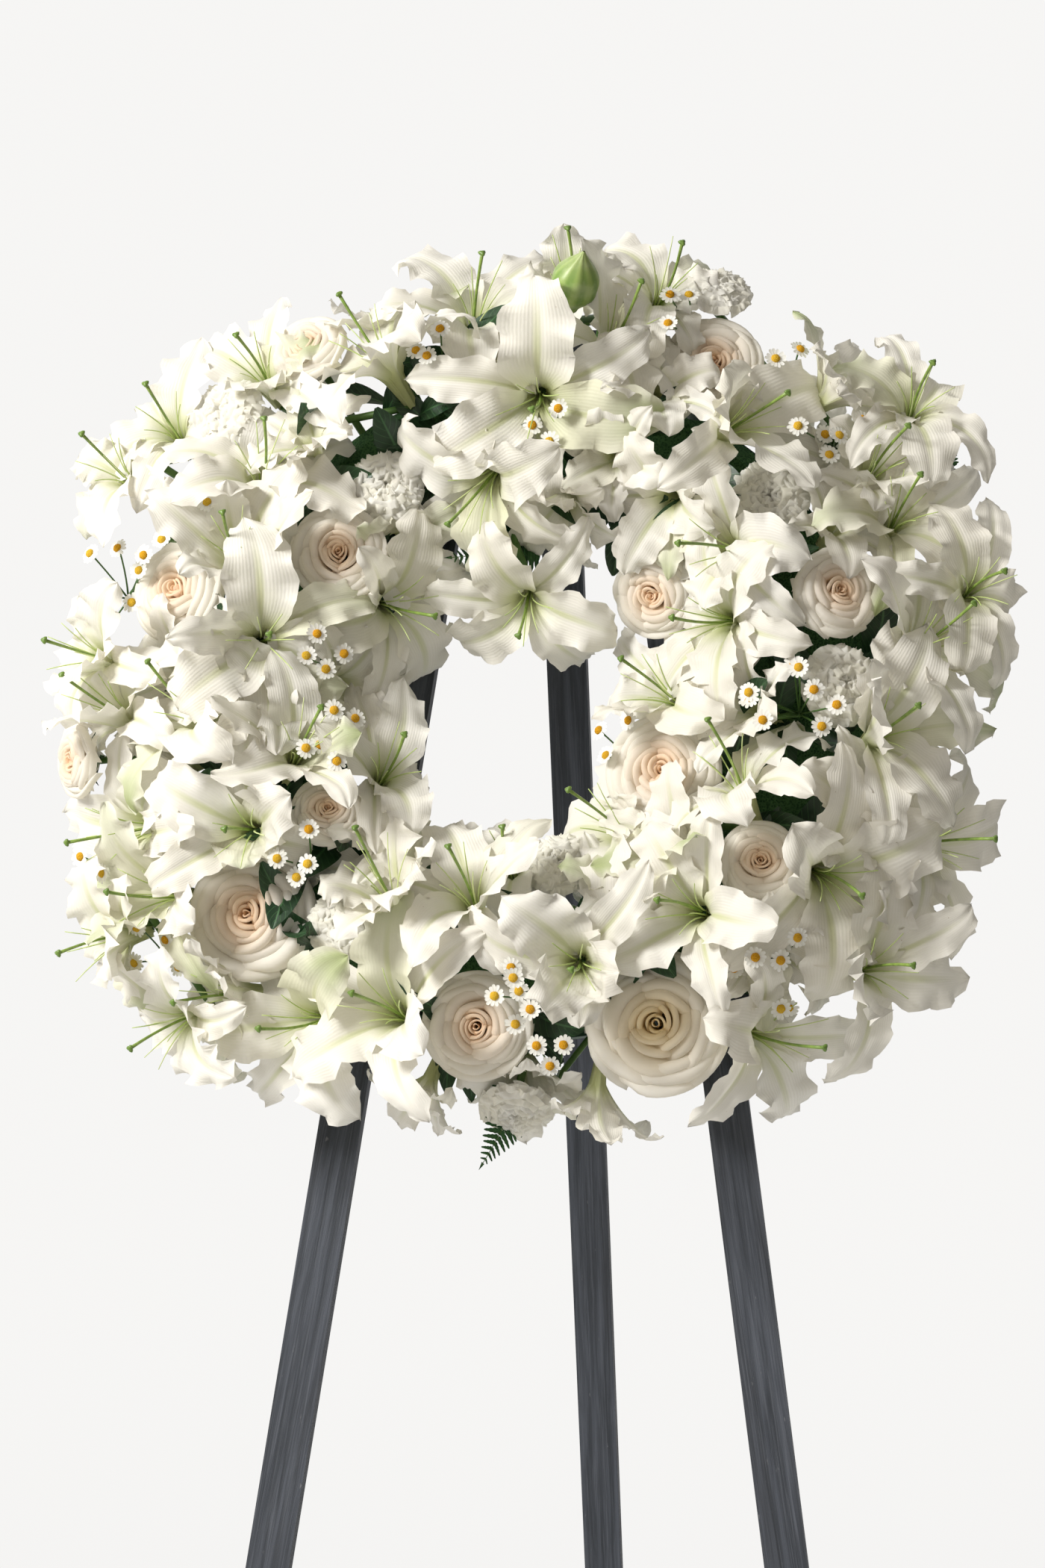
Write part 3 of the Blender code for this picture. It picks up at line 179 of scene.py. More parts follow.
CARNATIONS = {
    "carnations_left": ((-275, 235, -0.40, 0.30, 72), (-130, 164, 0.10, 0.10, 62)),
    "carnations_top_right": ((150, 340, 0.20, 0.60, 58), (198, 156, 0.10, 0.10, 66)),
    "carnation_right_edge": ((262, -10, 0.40, 0.05, 68),),
    "carnations_bottom": ((13, -153, 0.00, 0.40, 58), (-8, -345, 0.00, -0.80, 60)),
    "carnation_low_left": ((-153, -203, -0.05, 0.05, 56),),
}

# Chamomile sprays by node, in mm: x, y, number of heads, spread
SPRAYS = {
    "chamomile_left": ((-291, 143, 7, 34), (-358, 92, 7, 40)),
    "chamomile_top": ((-84, 279, 3, 20), (12, 214, 3, 20), (131, 325, 5, 34)),
    "chamomile_upper_right": ((250, 222, 6, 32), (215, 282, 2, 18)),
    "chamomile_right": ((226, -23, 8, 42), (80, -50, 6, 28)),
    "chamomile_inner_left": ((-163, 23, 4, 24), (-163, -50, 5, 28)),
    "chamomile_low_left": ((-180, -154, 4, 24), (-312, -223, 5, 28), (-370, -145, 3, 20)),
    "chamomile_bottom": ((12, -262, 7, 30), (22, -322, 3, 26), (207, -240, 7, 32)),
}
HEAD_R = 0.0095
HEAD_RAYS = 5
HEAD_REACH = 0.128
FORK_REACH = 0.066
ROOT_REACH = 0.060
BUD_REACH = 0.120
TWIG_R = 0.0013
HUB_R = 0.0046

# Fern fronds and broad leaves by node, in mm: root x, y, then each tip's x, y and height
FERNS = {
    "fern_bottom": ((5, -300, (-66, -372, 40), (48, -366, 40)),),
    "fern_inner_top": ((10, 150, (-64, 100, 60), (79, 112, 60)),),
    "fern_right": ((330, 190, (360, 236, 70), (384, 150, 60)),),
}
LEAVES = {
    "leaves_top": ((20, 262, (118, 322, 40), (-40, 352, 45), (40, 362, 30)),),
    "leaves_left": ((-262, 0, (-322, 36, 74), (-300, -60, 76), (-366, -20, 20)),),
    "leaves_right": ((262, 20, (330, 10, 60), (345, -50, 40), (352, 100, 30)),),
}
LEAF_THICKNESS = 0.0014
LEAF_WIDE = 0.044
FROND_WIDE = 0.050


class Bloom:
    """One head with its stem: where it stands, which way it faces and what it is."""

    def __init__(self, node, kind, at, axis, size, spin):
        self.node = node
        self.kind = kind
        self.at = at
        self.axis = axis.normalized()
        self.size = size
        self.spin = spin
        self.foot = None
        self.petals = {}
        self.heads = []
        self.blades = []

    def sides(self):
        """Two unit vectors square to the axis."""
        side = self.axis.cross(Vector((0.2, 1.0, 0.1))).normalized()
        return side, self.axis.cross(side)

    def base(self):
        """Where the stem begins under the head."""
        depth = {"lily": LILY_CONE, "rose": 0.17, "carnation": 0.20, "bud": 0.16}
        return self.at - self.axis * (depth.get(self.kind, 0.0) * self.size)

    def ball(self):
        """Centre and radius of the round space that the head's core needs."""
        if self.kind in ("lily", "twig", "root"):
            radius = LILY_CORE_R if self.kind == "lily" else TWIG_CORE_R
            return self.at - self.axis * TWIG_CORE_R, radius
        if self.kind == "bud":
            return self.at + self.axis * 0.5 * self.size, 0.4 * self.size
        return self.at + self.axis * 0.18 * self.size, 0.5 * self.size


def lifted(x, y, reach, least=0.42):
    """The point at x, y that lies reach away from the foam's core, or the least share of it in front."""
    out = math.hypot(x, y) - RING_R
    return Vector((x, y, CORE_Z + math.sqrt(max(reach**2 - out**2, (least * reach) ** 2))))


def outward(at):
    """Away from the foam's core at a point of the wreath."""
    core = Vector((at.x, at.y, 0.0)).normalized() * RING_R
    return (at - core - Vector((0.0, 0.0, CORE_Z))).normalized()


def make_blooms():
    """Every head of the tables above, with lilies first."""
    draw = random.Random(11)
    blooms = []
    for node, rows in LILIES.items():
        for x, y, tip_x, tip_y, size in rows:
            lean = Vector((tip_x - x, tip_y - y, 0.0)) * (MM / PISTIL)
            lean = lean * min(1.0, 0.9 / max(lean.length, 1e-6))
            axis = Vector((lean.x, lean.y, math.sqrt(1.0 - lean.length_squared)))
            at = lifted(x * MM, y * MM, LILY_REACH)
            blooms.append(Bloom(node, "lily", at, axis, size, draw.uniform(0.0, math.tau)))
    for kind, table, reach in (("rose", ROSES, ROSE_REACH), ("carnation", CARNATIONS, CARNATION_REACH)):
        for node, rows in table.items():
            for x, y, lean_x, lean_y, wide in rows:
                axis = Vector((lean_x, lean_y, math.sqrt(1.0 - lean_x**2 - lean_y**2)))
                at = lifted(x * MM, y * MM, reach - 0.18 * wide * MM)
                blooms.append(Bloom(node, kind, at, axis, wide * MM, draw.uniform(0.0, math.tau)))
    node, x, y, lean_x, lean_y, long = BUD
    axis = Vector((lean_x, lean_y, math.sqrt(1.0 - lean_x**2 - lean_y**2)))
    blooms.append(Bloom(node, "bud", lifted(x * MM, y * MM, BUD_REACH), axis, long * MM, 0.0))
    foliage = (("twig", SPRAYS, FORK_REACH), ("root", FERNS, ROOT_REACH), ("root", LEAVES, ROOT_REACH))
    for kind, table, reach in foliage:
        for node, rows in table.items():
            for row in rows:
                at = lifted(row[0] * MM, row[1] * MM, reach, 0.0)
                blooms.append(Bloom(node, kind, at, outward(at), 1.0, 0.0))
                blooms[-1].row = row
    return blooms


def spread_heads(blooms):
    """Push the heads' cores apart until none touches another."""
    for _ in range(SPREAD_ROUNDS):
        for i, first in enumerate(blooms):
            for second in blooms[i + 1 :]:
                (a, ra), (b, rb) = first.ball(), second.ball()
                apart = b - a
                short = ra + rb + 0.002 - apart.length
                if short > 0:
                    push = apart.normalized() * short
                    first.at -= push * 0.5
                    second.at += push * 0.5


def core_point(angle, deep, out=0.0):
    """A point in the foam's core, or lower or further out by a little."""
    rho = RING_R + out
    return Vector((rho * math.cos(angle), rho * math.sin(angle), CORE_Z - deep))


def spoke(side, up, a):
    """The way out from an axis at an angle round it."""
    return side * math.cos(a) + up * math.sin(a)


def beside(side, up, a):
    """The way across that spoke."""
    return up * math.cos(a) - side * math.sin(a)


def circle(centre, axis, radius, count, turn=0.0):
    """Points round an axis."""
    side = axis.cross(Vector((0.2, 1.0, 0.1))).normalized()
    up = axis.cross(side).normalized()
    steps = (turn + math.tau * i / count for i in range(count))
    return [centre + spoke(side, up, a) * radius for a in steps]


def stitch(shape, outer, inner):
    """Triangles between two closed rows of points, the second with fewer points or as many."""
    n, m = len(outer), len(inner)
    j = 0
    for i in range(n):
        shape[1].append((outer[i], outer[(i + 1) % n], inner[j % m]))
        while (j + 1) * n <= (i + 1) * m:
            shape[1].append((outer[(i + 1) % n], inner[(j + 1) % m], inner[j % m]))
            j += 1


def add_points(shape, points):
    start = len(shape[0])
    shape[0].extend(points)
    return list(range(start, start + len(points)))


def nearest_turn(row, points, ring):
    """The ring's indices started where it lies nearest the row's first point."""
    best = min(range(len(ring)), key=lambda i: (points[ring[i]] - points[row[0]]).length)
    return ring[best:] + ring[:best]


def add_stem(shape, row, base, foot, radius, axis):
    """Close a head's underside onto a three-sided stem that runs to its foot."""
    along = (base - foot).normalized()
    top = add_points(shape, circle(base, (along + axis).normalized(), radius, 3))
    top = nearest_turn(row, shape[0], top)
    stitch(shape, row, top)
    low = add_points(shape, circle(foot - along * STEM_PAST, along, radius, 3))
    low = nearest_turn(top, shape[0], low)
    stitch(shape, top, low)
    shape[1].append(tuple(low))


def stem_only(base, foot, radius):
    """A three-sided stem by itself."""
    shape = ([], [])
    along = (base - foot).normalized()
    top = add_points(shape, circle(base, along, radius, 3))
    low = add_points(shape, circle(foot - along * STEM_PAST, along, radius, 3))
    stitch(shape, top, low)
    shape[1].extend([tuple(top), tuple(low)])
    return shape


def tree_of(shape):
    return BVHTree.FromPolygons(shape[0], shape[1])


def ball_of(points):
    """The middle of some points and their furthest distance from it."""
    middle = sum(points, Vector()) / len(points)
    return middle, max((p - middle).length for p in points)


class Space:
    """What has been placed so far, for tests of what is placed next."""

    def __init__(self):
        self.things = []

    def add(self, owner, shape):
        self.things.append((owner, *ball_of(shape[0]), tree_of(shape)))

    def hits(self, shape, skipped):
        """Whether the shape crosses any of the things, apart from the skipped ones."""
        middle, radius = ball_of(shape[0])
        tree = None
        for owner, centre, reach, other in self.things:
            if (centre - middle).length > radius + reach or skipped(owner):
                continue
            tree = tree or tree_of(shape)
            if tree.overlap(other):
                return True
        return False


def half_width(share, wide):
    """Half a petal's width along its length: narrow at the throat, widest before the middle, pointed."""
    if share < 0.42:
        part = share / 0.42
        return 0.5 * wide * (0.22 + 0.78 * part * part * (3 - 2 * part))
    return 0.5 * wide * math.sqrt(max(0.0, 1.0 - ((share - 0.42) / 0.58) ** 2.2))


def petal_row(bloom, k, bend, length, yaw, share, grow):
    """Left edge, ridge and right edge of petal k at a share of its length."""
    kind = k % 2
    start = PETAL_START[kind]
    radius = THROAT_R * bloom.size * 0.87
    height = 0.0
    step = share * length / PETAL_PARTS
    for i in range(PETAL_PARTS):
        angle = start + (bend - start) * ((i + 0.5) / PETAL_PARTS * share) ** BEND_POWER
        radius += math.sin(angle) * step
        height += math.cos(angle) * step
    angle = start + (bend - start) * share**BEND_POWER
    side, up = bloom.sides()
    turn = bloom.spin + k * math.pi / 3 + yaw * share
    flat = spoke(side, up, turn)
    across = beside(side, up, turn)
    normal = bloom.axis * math.sin(angle) - flat * math.cos(angle)
    middle = bloom.at + flat * radius + bloom.axis * height - normal * (grow * 0.6)
    half = half_width(share, PETAL_WIDE[kind] * bloom.size) + grow
    return [middle - across * half, middle + normal * (PETAL_THICK + 1.6 * grow), middle + across * half]


def add_band(shape, low, high):
    """The faces of a blade between two rows of left, ridge and right points, or a row and the tip."""
    for i in range(3):
        j = (i + 1) % 3
        if len(high) == 1:
            shape[1].append((low[i], low[j], high[0]))
        else:
            shape[1].extend([(low[i], low[j], high[i]), (low[j], high[j], high[i])])


def rim_row(bloom, k):
    """Where petal k leaves the throat: its two corners, which it shares, and the ridge between."""
    side, up = bloom.sides()
    radius = THROAT_R * bloom.size
    row = []
    for turn, r, rise in ((k - 0.5, 1.0, 0.0), (k, 0.74, 0.0008), (k + 0.5, 1.0, 0.0)):
        angle = bloom.spin + turn * math.pi / 3
        flat = spoke(side, up, angle)
        row.append(bloom.at + flat * (radius * r) + bloom.axis * rise)
    return row


def petal_alone(bloom, k, lay, grow, whole):
    """A petal by itself, from the rim or from a little past it, grown all round to test for room."""
    shape = ([], [])
    bend, length, yaw = lay
    rows = [petal_row(bloom, k, bend, length, yaw, share, grow) for share in PETAL_ROWS[k % 2]]
    rim = rim_row(bloom, k)
    rows.insert(0, rim if whole else [a.lerp(b, 0.35) for a, b in zip(rim, rows[0])])
    indices = [add_points(shape, row) for row in rows]
    indices.append(add_points(shape, [petal_row(bloom, k, bend, length + grow, yaw, 1.0, 0.0)[1]]))
    for low, high in zip(indices, indices[1:]):
        add_band(shape, low, high)
    shape[1].append((0, 1, 2))
    return shape


def in_bounds(points):
    """Inside the wreath's outline, in front of the easel and clear of the hole."""
    for p in points:
        if not BACK_MOST < p.z < FRONT_MOST:
            return False
        if HOLE_X[0] < p.x < HOLE_X[1] and HOLE_Y[0] < p.y < HOLE_Y[1]:
            return False
        wide, high, power = OUTLINE
        if (abs(p.x) / wide) ** power + (abs(p.y - OUTLINE_Y) / high) ** power > 1.0:
            return False
    return True


def lays_of(bloom, tilt):
    """The ways a petal may lie, from the fullest to the most folded and shortened."""
    for shrink in SHRINKS:
        for bend in BENDS:
            for yaw in YAWS:
                yield math.radians(bend + tilt), PETAL_LONG * bloom.size * shrink, math.radians(yaw)


def open_way(bloom):
    """The tube in front of a rose or carnation that no petal crosses, so that its face shows."""
    radius = OPEN_SHARE[bloom.kind] * bloom.size
    near = circle(bloom.at + bloom.axis * 0.25 * bloom.size, TO_VIEWER, radius, 10)
    far = circle(bloom.at + TO_VIEWER * OPEN_LONG, TO_VIEWER, radius, 10)
    faces = [(i, (i + 1) % 10, 10 + (i + 1) % 10, 10 + i) for i in range(10)]
    return near + far, faces + [tuple(range(10)), tuple(range(10, 20))]


def choose_petals(bloom, space, draw):
    """Bend each petal clear of everything placed before it, giving up length only where it must."""
    tilt = draw.uniform(-10, 10)

    def not_others(owner):
        return owner[0] is bloom or owner[1] == "loose"

    def not_own(owner):
        return owner[0] is not bloom or owner[1] != "loose"

    for k in (0, 2, 4, 1, 3, 5):
        bloom.petals[k] = None
        for lay in lays_of(bloom, tilt + draw.uniform(-12, 12)):
            whole = petal_alone(bloom, k, lay, CLEAR, True)
            if not in_bounds(whole[0]) or space.hits(whole, not_others):
                continue
            if space.hits(petal_alone(bloom, k, lay, CLEAR / 2, False), not_own):
                continue
            if space.hits(petal_alone(bloom, k, lay, 0.0, True), not_others):
                continue
            bloom.petals[k] = lay
            space.add((bloom, "loose"), petal_alone(bloom, k, lay, 0.0, False))
            space.add((bloom, "whole"), petal_alone(bloom, k, lay, 0.0, True))
            break


def lily_core(bloom):
    """A lily's pistil, throat and stem, with its rim closed where the petals begin."""
    shape = ([], [])
    rim = [rim_row(bloom, k) for k in range(6)]
    corners, ridges = (add_points(shape, [row[i] for row in rim]) for i in (0, 1))
    for k in range(6):
        shape[1].append((corners[k], ridges[k], corners[(k + 1) % 6]))
    inner = [index for k in range(6) for index in (corners[k], ridges[k])]
    turn = bloom.spin - math.pi / 6
    low = add_points(shape, circle(bloom.at - bloom.axis * THROAT_DEEP, bloom.axis, 0.0014, 3, turn))
    stitch(shape, inner, low)
    end = bloom.at + bloom.axis * (PISTIL * (0.55 + 0.45 * bloom.size) - THROAT_DEEP)
    high = add_points(shape, circle(end, bloom.axis, 0.0026, 3, turn))
    stitch(shape, low, high)
    shape[1].append(tuple(high))
    add_stem(shape, corners, bloom.base(), bloom.foot, STEM_R, bloom.axis)
    return shape


# Rings of a rose and a carnation from the heart out: share of radius, height, kind of edge
ROSE_RINGS = (
    (0.17, 0.66, "rim"), (0.25, 0.50, "fold"), (0.43, 0.64, "rim"), (0.52, 0.40, "fold"),
    (0.71, 0.54, "rim"), (0.80, 0.26, "fold"), (1.00, 0.36, "rim"), (0.84, 0.10, "fold"),
    (0.34, -0.22, "fold"),
)
CARNATION_RINGS = (
    (0.30, 0.62, "rim"), (0.42, 0.42, "fold"), (0.68, 0.52, "rim"), (0.76, 0.24, "fold"),
    (1.00, 0.26, "rim"), (0.62, -0.06, "fold"), (0.28, -0.24, "fold"),
)
HEART_HEIGHT = 0.56
ROUND_SIDES = (8, 10)  # on a small head and on one over the width below
ROUND_LARGE = 0.078


def round_shape(bloom):
    """A rose or a carnation: rings of petal rims with folds between them, and the stem."""
    shape = ([], [])
    side, up = bloom.sides()
    radius = bloom.size / 2
    count = ROUND_SIDES[bloom.size > ROUND_LARGE]
    rings = ROSE_RINGS if bloom.kind == "rose" else CARNATION_RINGS
    notch, drop = (0.07, 0.07) if bloom.kind == "rose" else (0.05, -0.10)
    heart = add_points(shape, [bloom.at + bloom.axis * (HEART_HEIGHT * radius)])[0]
    before = None
    for number, (share, height, edge) in enumerate(rings):
        points = []
        for i in range(count):
            turn = bloom.spin + math.tau * i / count + 0.12 * number
            dent = edge == "rim" and (i + number // 2) % 2
            r = radius * share * (1.0 - notch * dent)
            z = radius * (height - drop * dent)
            points.append(bloom.at + spoke(side, up, turn) * r + bloom.axis * z)
        row = add_points(shape, points)
        if before is None:
            for i in range(count):
                shape[1].append((heart, row[i], row[(i + 1) % count]))
        else:
            stitch(shape, before, row)
        before = row
    add_stem(shape, before, bloom.base(), bloom.foot, STEM_R, bloom.axis)
    return shape


def hub_shape(at):
    """A small knot with twenty faces, each of which can grow a stalk."""
    golden = (1 + math.sqrt(5)) / 2
    points = []
    for a, b in ((1, golden), (-1, golden), (1, -golden), (-1, -golden)):
        points += [Vector((0, a, b)), Vector((a, b, 0)), Vector((b, 0, a))]
    points = [at + p.normalized() * HUB_R for p in points]
    faces = []
    edge = HUB_R * 1.06
    for i in range(12):
        for j in range(i + 1, 12):
            for k in range(j + 1, 12):
                trio = (points[i], points[j], points[k])
                if all((trio[m] - trio[m - 1]).length < edge for m in range(3)):
                    out = (trio[1] - trio[0]).cross(trio[2] - trio[0]).dot(trio[0] - at) > 0
                    faces.append((i, j, k) if out else (i, k, j))
    return points, faces


def grow_head(shape, face, at, axis, spin):
    """Grow a stalk and a small daisy head from one face of the knot."""
    points = shape[0]
    root = sum((points[i] for i in face), Vector()) / 3
    along = (at - axis * 0.004 - root).normalized()
    star = []
    side = axis.cross(Vector((0.2, 1.0, 0.1))).normalized()
    up = axis.cross(side)
    for i in range(2 * HEAD_RAYS):
        turn = spin + math.pi * i / HEAD_RAYS
        r = HEAD_R if i % 2 == 0 else 0.56 * HEAD_R
        star.append(at + spoke(side, up, turn) * r)
    star = add_points(shape, star)
    apex = add_points(shape, [at + axis * 0.0034])[0]
    for i in range(len(star)):
        shape[1].append((apex, star[i], star[(i + 1) % len(star)]))
    neck = circle(at - axis * 0.004, (along + axis).normalized(), TWIG_R, 3)
    neck = nearest_turn(star, points, add_points(shape, neck))
    stitch(shape, star, neck)
    way = (points[neck[0]] - at).normalized()
    start = max(range(3), key=lambda i: (points[face[i]] - root).normalized().dot(way))
    base = [face[(start + i) % 3] for i in range(3)]
    stitch(shape, neck, base)


def bud_shape(bloom):
    """A closed lily bud, six-sided and pointed."""
    shape = ([], [])
    before = None
    for share, wide in ((0.9, 0.14), (0.6, 0.36), (0.3, 0.40), (0.0, 0.20)):
        row = circle(bloom.at + bloom.axis * (share * bloom.size), bloom.axis, wide * bloom.size, 6, 0.1)
        row = add_points(shape, row)
        if before is None:
            tip = add_points(shape, [bloom.at + bloom.axis * bloom.size])[0]
            shape[1].extend((tip, row[i], row[(i + 1) % 6]) for i in range(6))
        else:
            stitch(shape, before, row)
        before = row
    add_stem(shape, before, bloom.base(), bloom.foot, STEM_R, bloom.axis)
    return shape


def segment_gap(a, b, c, d):
    """Least distance between the segments ab and cd."""
    u, v, w = b - a, d - c, a - c
    uu, uv, vv, uw, vw = u.dot(u), u.dot(v), v.dot(v), u.dot(w), v.dot(w)
    spread = uu * vv - uv * uv
    s = min(1.0, max(0.0, (uv * vw - vv * uw) / spread)) if spread > 1e-12 else 0.0
    t = min(1.0, max(0.0, (uv * s + vw) / vv))
    s = min(1.0, max(0.0, (uv * t - uw) / uu))
    return (a + u * s - c - v * t).length


def in_foam(p, margin):
    """Whether a point of the leaning plane's space is in the foam ring grown by a margin."""
    return abs(math.hypot(p.x, p.y) - RING_R) < FOAM_HALF + margin and p.z < FOAM_TOP + margin


def lift_off_foam(blooms):
    """Move a head outwards until its underside is clear of the foam."""
    for bloom in blooms:
        for _ in range(20):
            if bloom.kind in ("twig", "root") or not in_foam(bloom.base(), 0.013):
                break
            bloom.at += outward(bloom.at) * 0.002


JOINT_OUTS = (0.0, 0.014, -0.014, 0.028, -0.028)


def joints_of(angle, middle):
    """Where a node's stems may meet: just over the foam, with one trunk into it, or else inside it."""
    for turn in (0, 4, -4, 8, -8, 12, -12):
        core = core_point(angle + math.radians(turn), 0.006)
        for reach in (0.057, 0.065):
            for out in JOINT_OUTS:
                rho = (middle.length + out) / middle.length
                spot = Matrix.Rotation(math.radians(turn), 3, "Z") @ middle * rho
                yield lifted(spot.x, spot.y, reach), core
    for turn in (0, 4, -4, 8, -8, 12, -12, 16, -16):
        for deep in (0.008, 0.0, 0.016):
            for out in JOINT_OUTS:
                yield core_point(angle + math.radians(turn), deep, out), None


def choose_feet(blooms):
    """Give each node a meeting point from which its stems run clear of all others."""
    nodes = {}
    for bloom in blooms:
        nodes.setdefault(bloom.node, []).append(bloom)
    placed = []
    trunks = []
    least = 2 * STEM_R + 2 * HOLE_EXTRA
    balls = [(bloom, *bloom.ball()) for bloom in blooms]
    for node, members in nodes.items():
        middle = sum((Vector((b.at.x, b.at.y, 0)) for b in members), Vector()) / len(members)
        best = None
        for joint, core in joints_of(math.atan2(middle.y, middle.x), middle):
            if core and len(members) == 1:
                continue
            lines = [(member, member.base(), joint) for member in members]
            count = 0
            if core:
                for _, base, end in lines:
                    count += any(in_foam(base.lerp(end, i / 12), 0.006) for i in range(13))
                lines.append((None, joint, core))
            for member, base, end in lines:
                end = end + (end - base).normalized() * STEM_PAST
                count += sum(segment_gap(base, end, a, b) < least for a, b in placed)
                for other, centre, radius in balls:
                    if other is not member:
                        near = segment_gap(base, end, centre, centre + Vector((0, 0, MM)))
                        count += near < radius + STEM_R
            if best is None or count < best[0]:
                best = (count, joint, core)
            if count == 0:
                break
        _, joint, core = best
        for member in members:
            member.foot = joint
            placed.append((member.base(), joint + (joint - member.base()).normalized() * STEM_PAST))
        if core:
            trunks.append(Bloom(node, "trunk", joint, joint - core, 1.0, 0.0))
            trunks[-1].foot = core
            placed.append((joint, core))
    return trunks


def choose_heads(bloom, space, draw):
    """Daisy heads over a knot, each drawn again until it and its stalk are clear."""
    x, y, count, spread = bloom.row
    hub = hub_shape(bloom.at)
    free = list(hub[1])
    taken = []
    chosen = []
    for _ in range(count):
        for _ in range(60):
            angle = draw.uniform(0.0, math.tau)
            r = spread * MM * math.sqrt(draw.random())
            reach = HEAD_REACH + draw.uniform(-0.022, 0.016)
            at = lifted(x * MM + r * math.cos(angle), y * MM + r * math.sin(angle), reach)
            axis = outward(at) + Vector((draw.uniform(-0.4, 0.4), draw.uniform(-0.4, 0.4), 0.8))
            axis.normalize()
            spin = draw.uniform(0.0, 1.0)
            way = (at - bloom.at).normalized()
            face = max(free, key=lambda f: (sum((hub[0][i] for i in f), Vector()) / 3 - bloom.at).dot(way))
            trial = (list(hub[0]), [])
            grow_head(trial, face, at, axis, spin)
            if any((at - other).length < 2.1 * HEAD_R for other in taken) or not in_bounds(trial[0]):
                continue
            if not space.hits(grown(trial, at), lambda owner: owner in ((bloom, "stem"), (bloom, "stalk"))):
                free.remove(face)
                taken.append(at)
                chosen.append((face, at, axis, spin))
                space.add((bloom, "stalk"), trial)
                space.add((bloom, "head"), (trial[0], [f for f in trial[1] if min(f) > 11]))
                break
    space.add((bloom, "stem"), hub)
    bloom.heads = [(at, axis, spin) for _, at, axis, spin in chosen]


def grown(shape, centre):
    """A head and its stalk with the points past the knot pushed away from the head's centre."""
    points = [p if i < 12 else p + (p - centre).normalized() * CLEAR for i, p in enumerate(shape[0])]
    return points, shape[1]


def blade_line(root, tip, rise, share):
    """A point on the bowed line from a blade's root to its tip."""
    middle = root.lerp(tip, 0.5) + rise
    return root.lerp(middle, share).lerp(middle.lerp(tip, share), share)


def blade_frame(root, tip, rise, share, roll):
    """The point on a blade's middle line, and the ways ahead, across and up there."""
    here = blade_line(root, tip, rise, share)
    ahead = blade_line(root, tip, rise, min(1.0, share + 0.05))
    ahead -= blade_line(root, tip, rise, max(0.0, share - 0.05))
    ahead.normalize()
    across = ahead.cross(Vector((0.15, 0.1, 1.0))).normalized()
    normal = across.cross(ahead).normalized()
    across = (across * math.cos(roll) + normal * math.sin(roll)).normalized()
    return here, ahead, across, across.cross(ahead).normalized()


def blade_shape(root, tip, rise, across_width, shares, widths, roll):
    """A thin arched blade from root to tip, with lens-shaped cross-sections."""
    shape = ([], [])
    before = None
    for share, wide in zip(shares, widths):
        here, _, across, normal = blade_frame(root, tip, rise, share, roll)
        half = wide * across_width / 2
        row = add_points(shape, [here - across * half, here + normal * LEAF_THICKNESS, here + across * half])
        if before is None:
            shape[1].append(tuple(row))
        else:
            add_band(shape, before, row)
        before = row
    add_band(shape, before, add_points(shape, [blade_line(root, tip, rise, 1.0)]))
    return shape


LEAF_SHARES = (0.0, 0.30, 0.66)
LEAF_WIDTHS = (0.10, 0.86, 0.80)
FERN_PAIRS = 6


def fern_outline():
    """Shares along the frond and widths there, out at each leaflet's tip and in at each notch."""
    shares, widths = [0.0, 0.14], [0.06, 0.08]
    for i in range(FERN_PAIRS):
        share = 0.20 + 0.76 * i / FERN_PAIRS
        shares += [share + 0.055, share + 0.075]
        widths += [1.04 - share, 0.30 * (1.04 - share)]
    return shares, widths


def choose_blade(bloom, tip_row, space, fern):
    """The first of several lies of a frond or leaf that is clear of everything else."""
    aim = Vector([value * MM for value in tip_row]) + Vector((0, 0, CORE_Z))
    shares, widths = fern_outline() if fern else (LEAF_SHARES, LEAF_WIDTHS)
    wide = FROND_WIDE if fern else LEAF_WIDE
    start = bloom.at - outward(bloom.at) * 0.003
    for shrink in (1.0, 0.85, 0.7, 0.55):
        for lift in (0.0, 0.015, -0.015, 0.03, -0.03):
            for turn in (0, 12, -12, 24, -24, 36, -36):
                for roll in (0.0, 0.5, -0.5):
                    reach = (aim - start) * shrink
                    reach.rotate(Matrix.Rotation(math.radians(turn), 3, "Z"))
                    tip = start + reach + Vector((0, 0, lift))
                    rise = outward(bloom.at) * 0.012
                    size = wide * shrink
                    blade = blade_shape(start, tip, rise, size, shares, widths, roll)
                    if in_bounds(blade[0]) and not space.hits(blade, lambda owner: owner == (bloom, "stem")):
                        bloom.blades.append((start, tip, rise, size, roll))
                        return blade
    return None


def ring_shape(profile):
    """A closed ring turned from a profile of (radius, height) points."""
    shape = ([], [])
    rows = []
    for i in range(RING_SIDES):
        a = math.tau * i / RING_SIDES
        rows.append(add_points(shape, [Vector((r * math.cos(a), r * math.sin(a), z)) for r, z in profile]))
    count = len(profile)
    for i in range(RING_SIDES):
        row, following = rows[i], rows[(i + 1) % RING_SIDES]
        for j in range(count):
            k = (j + 1) % count
            shape[1].append((row[j], row[k], following[k], following[j]))
    return shape


def tray_shape():
    inner, outer = RING_R - TRAY_HALF, RING_R + TRAY_HALF
    low, floor, rim, wall = SEAT, SEAT + TRAY_THICK, SEAT + TRAY_RIM, TRAY_WALL
    return ring_shape((
        (inner, low), (outer, low), (outer, rim), (outer - wall, rim), (outer - wall, floor),
        (inner + wall, floor), (inner + wall, rim), (inner, rim),
    ))


def foam_shape(grow=0.0):
    inner, outer = RING_R - FOAM_HALF - grow, RING_R + FOAM_HALF + grow
    low, top = 2 * SEAT + TRAY_THICK, FOAM_TOP + grow
    return ring_shape((
        (inner, low), (outer, low), (outer, top - FOAM_ROUND), (outer - FOAM_ROUND, top),
        (inner + FOAM_ROUND, top), (inner, top - FOAM_ROUND),
    ))


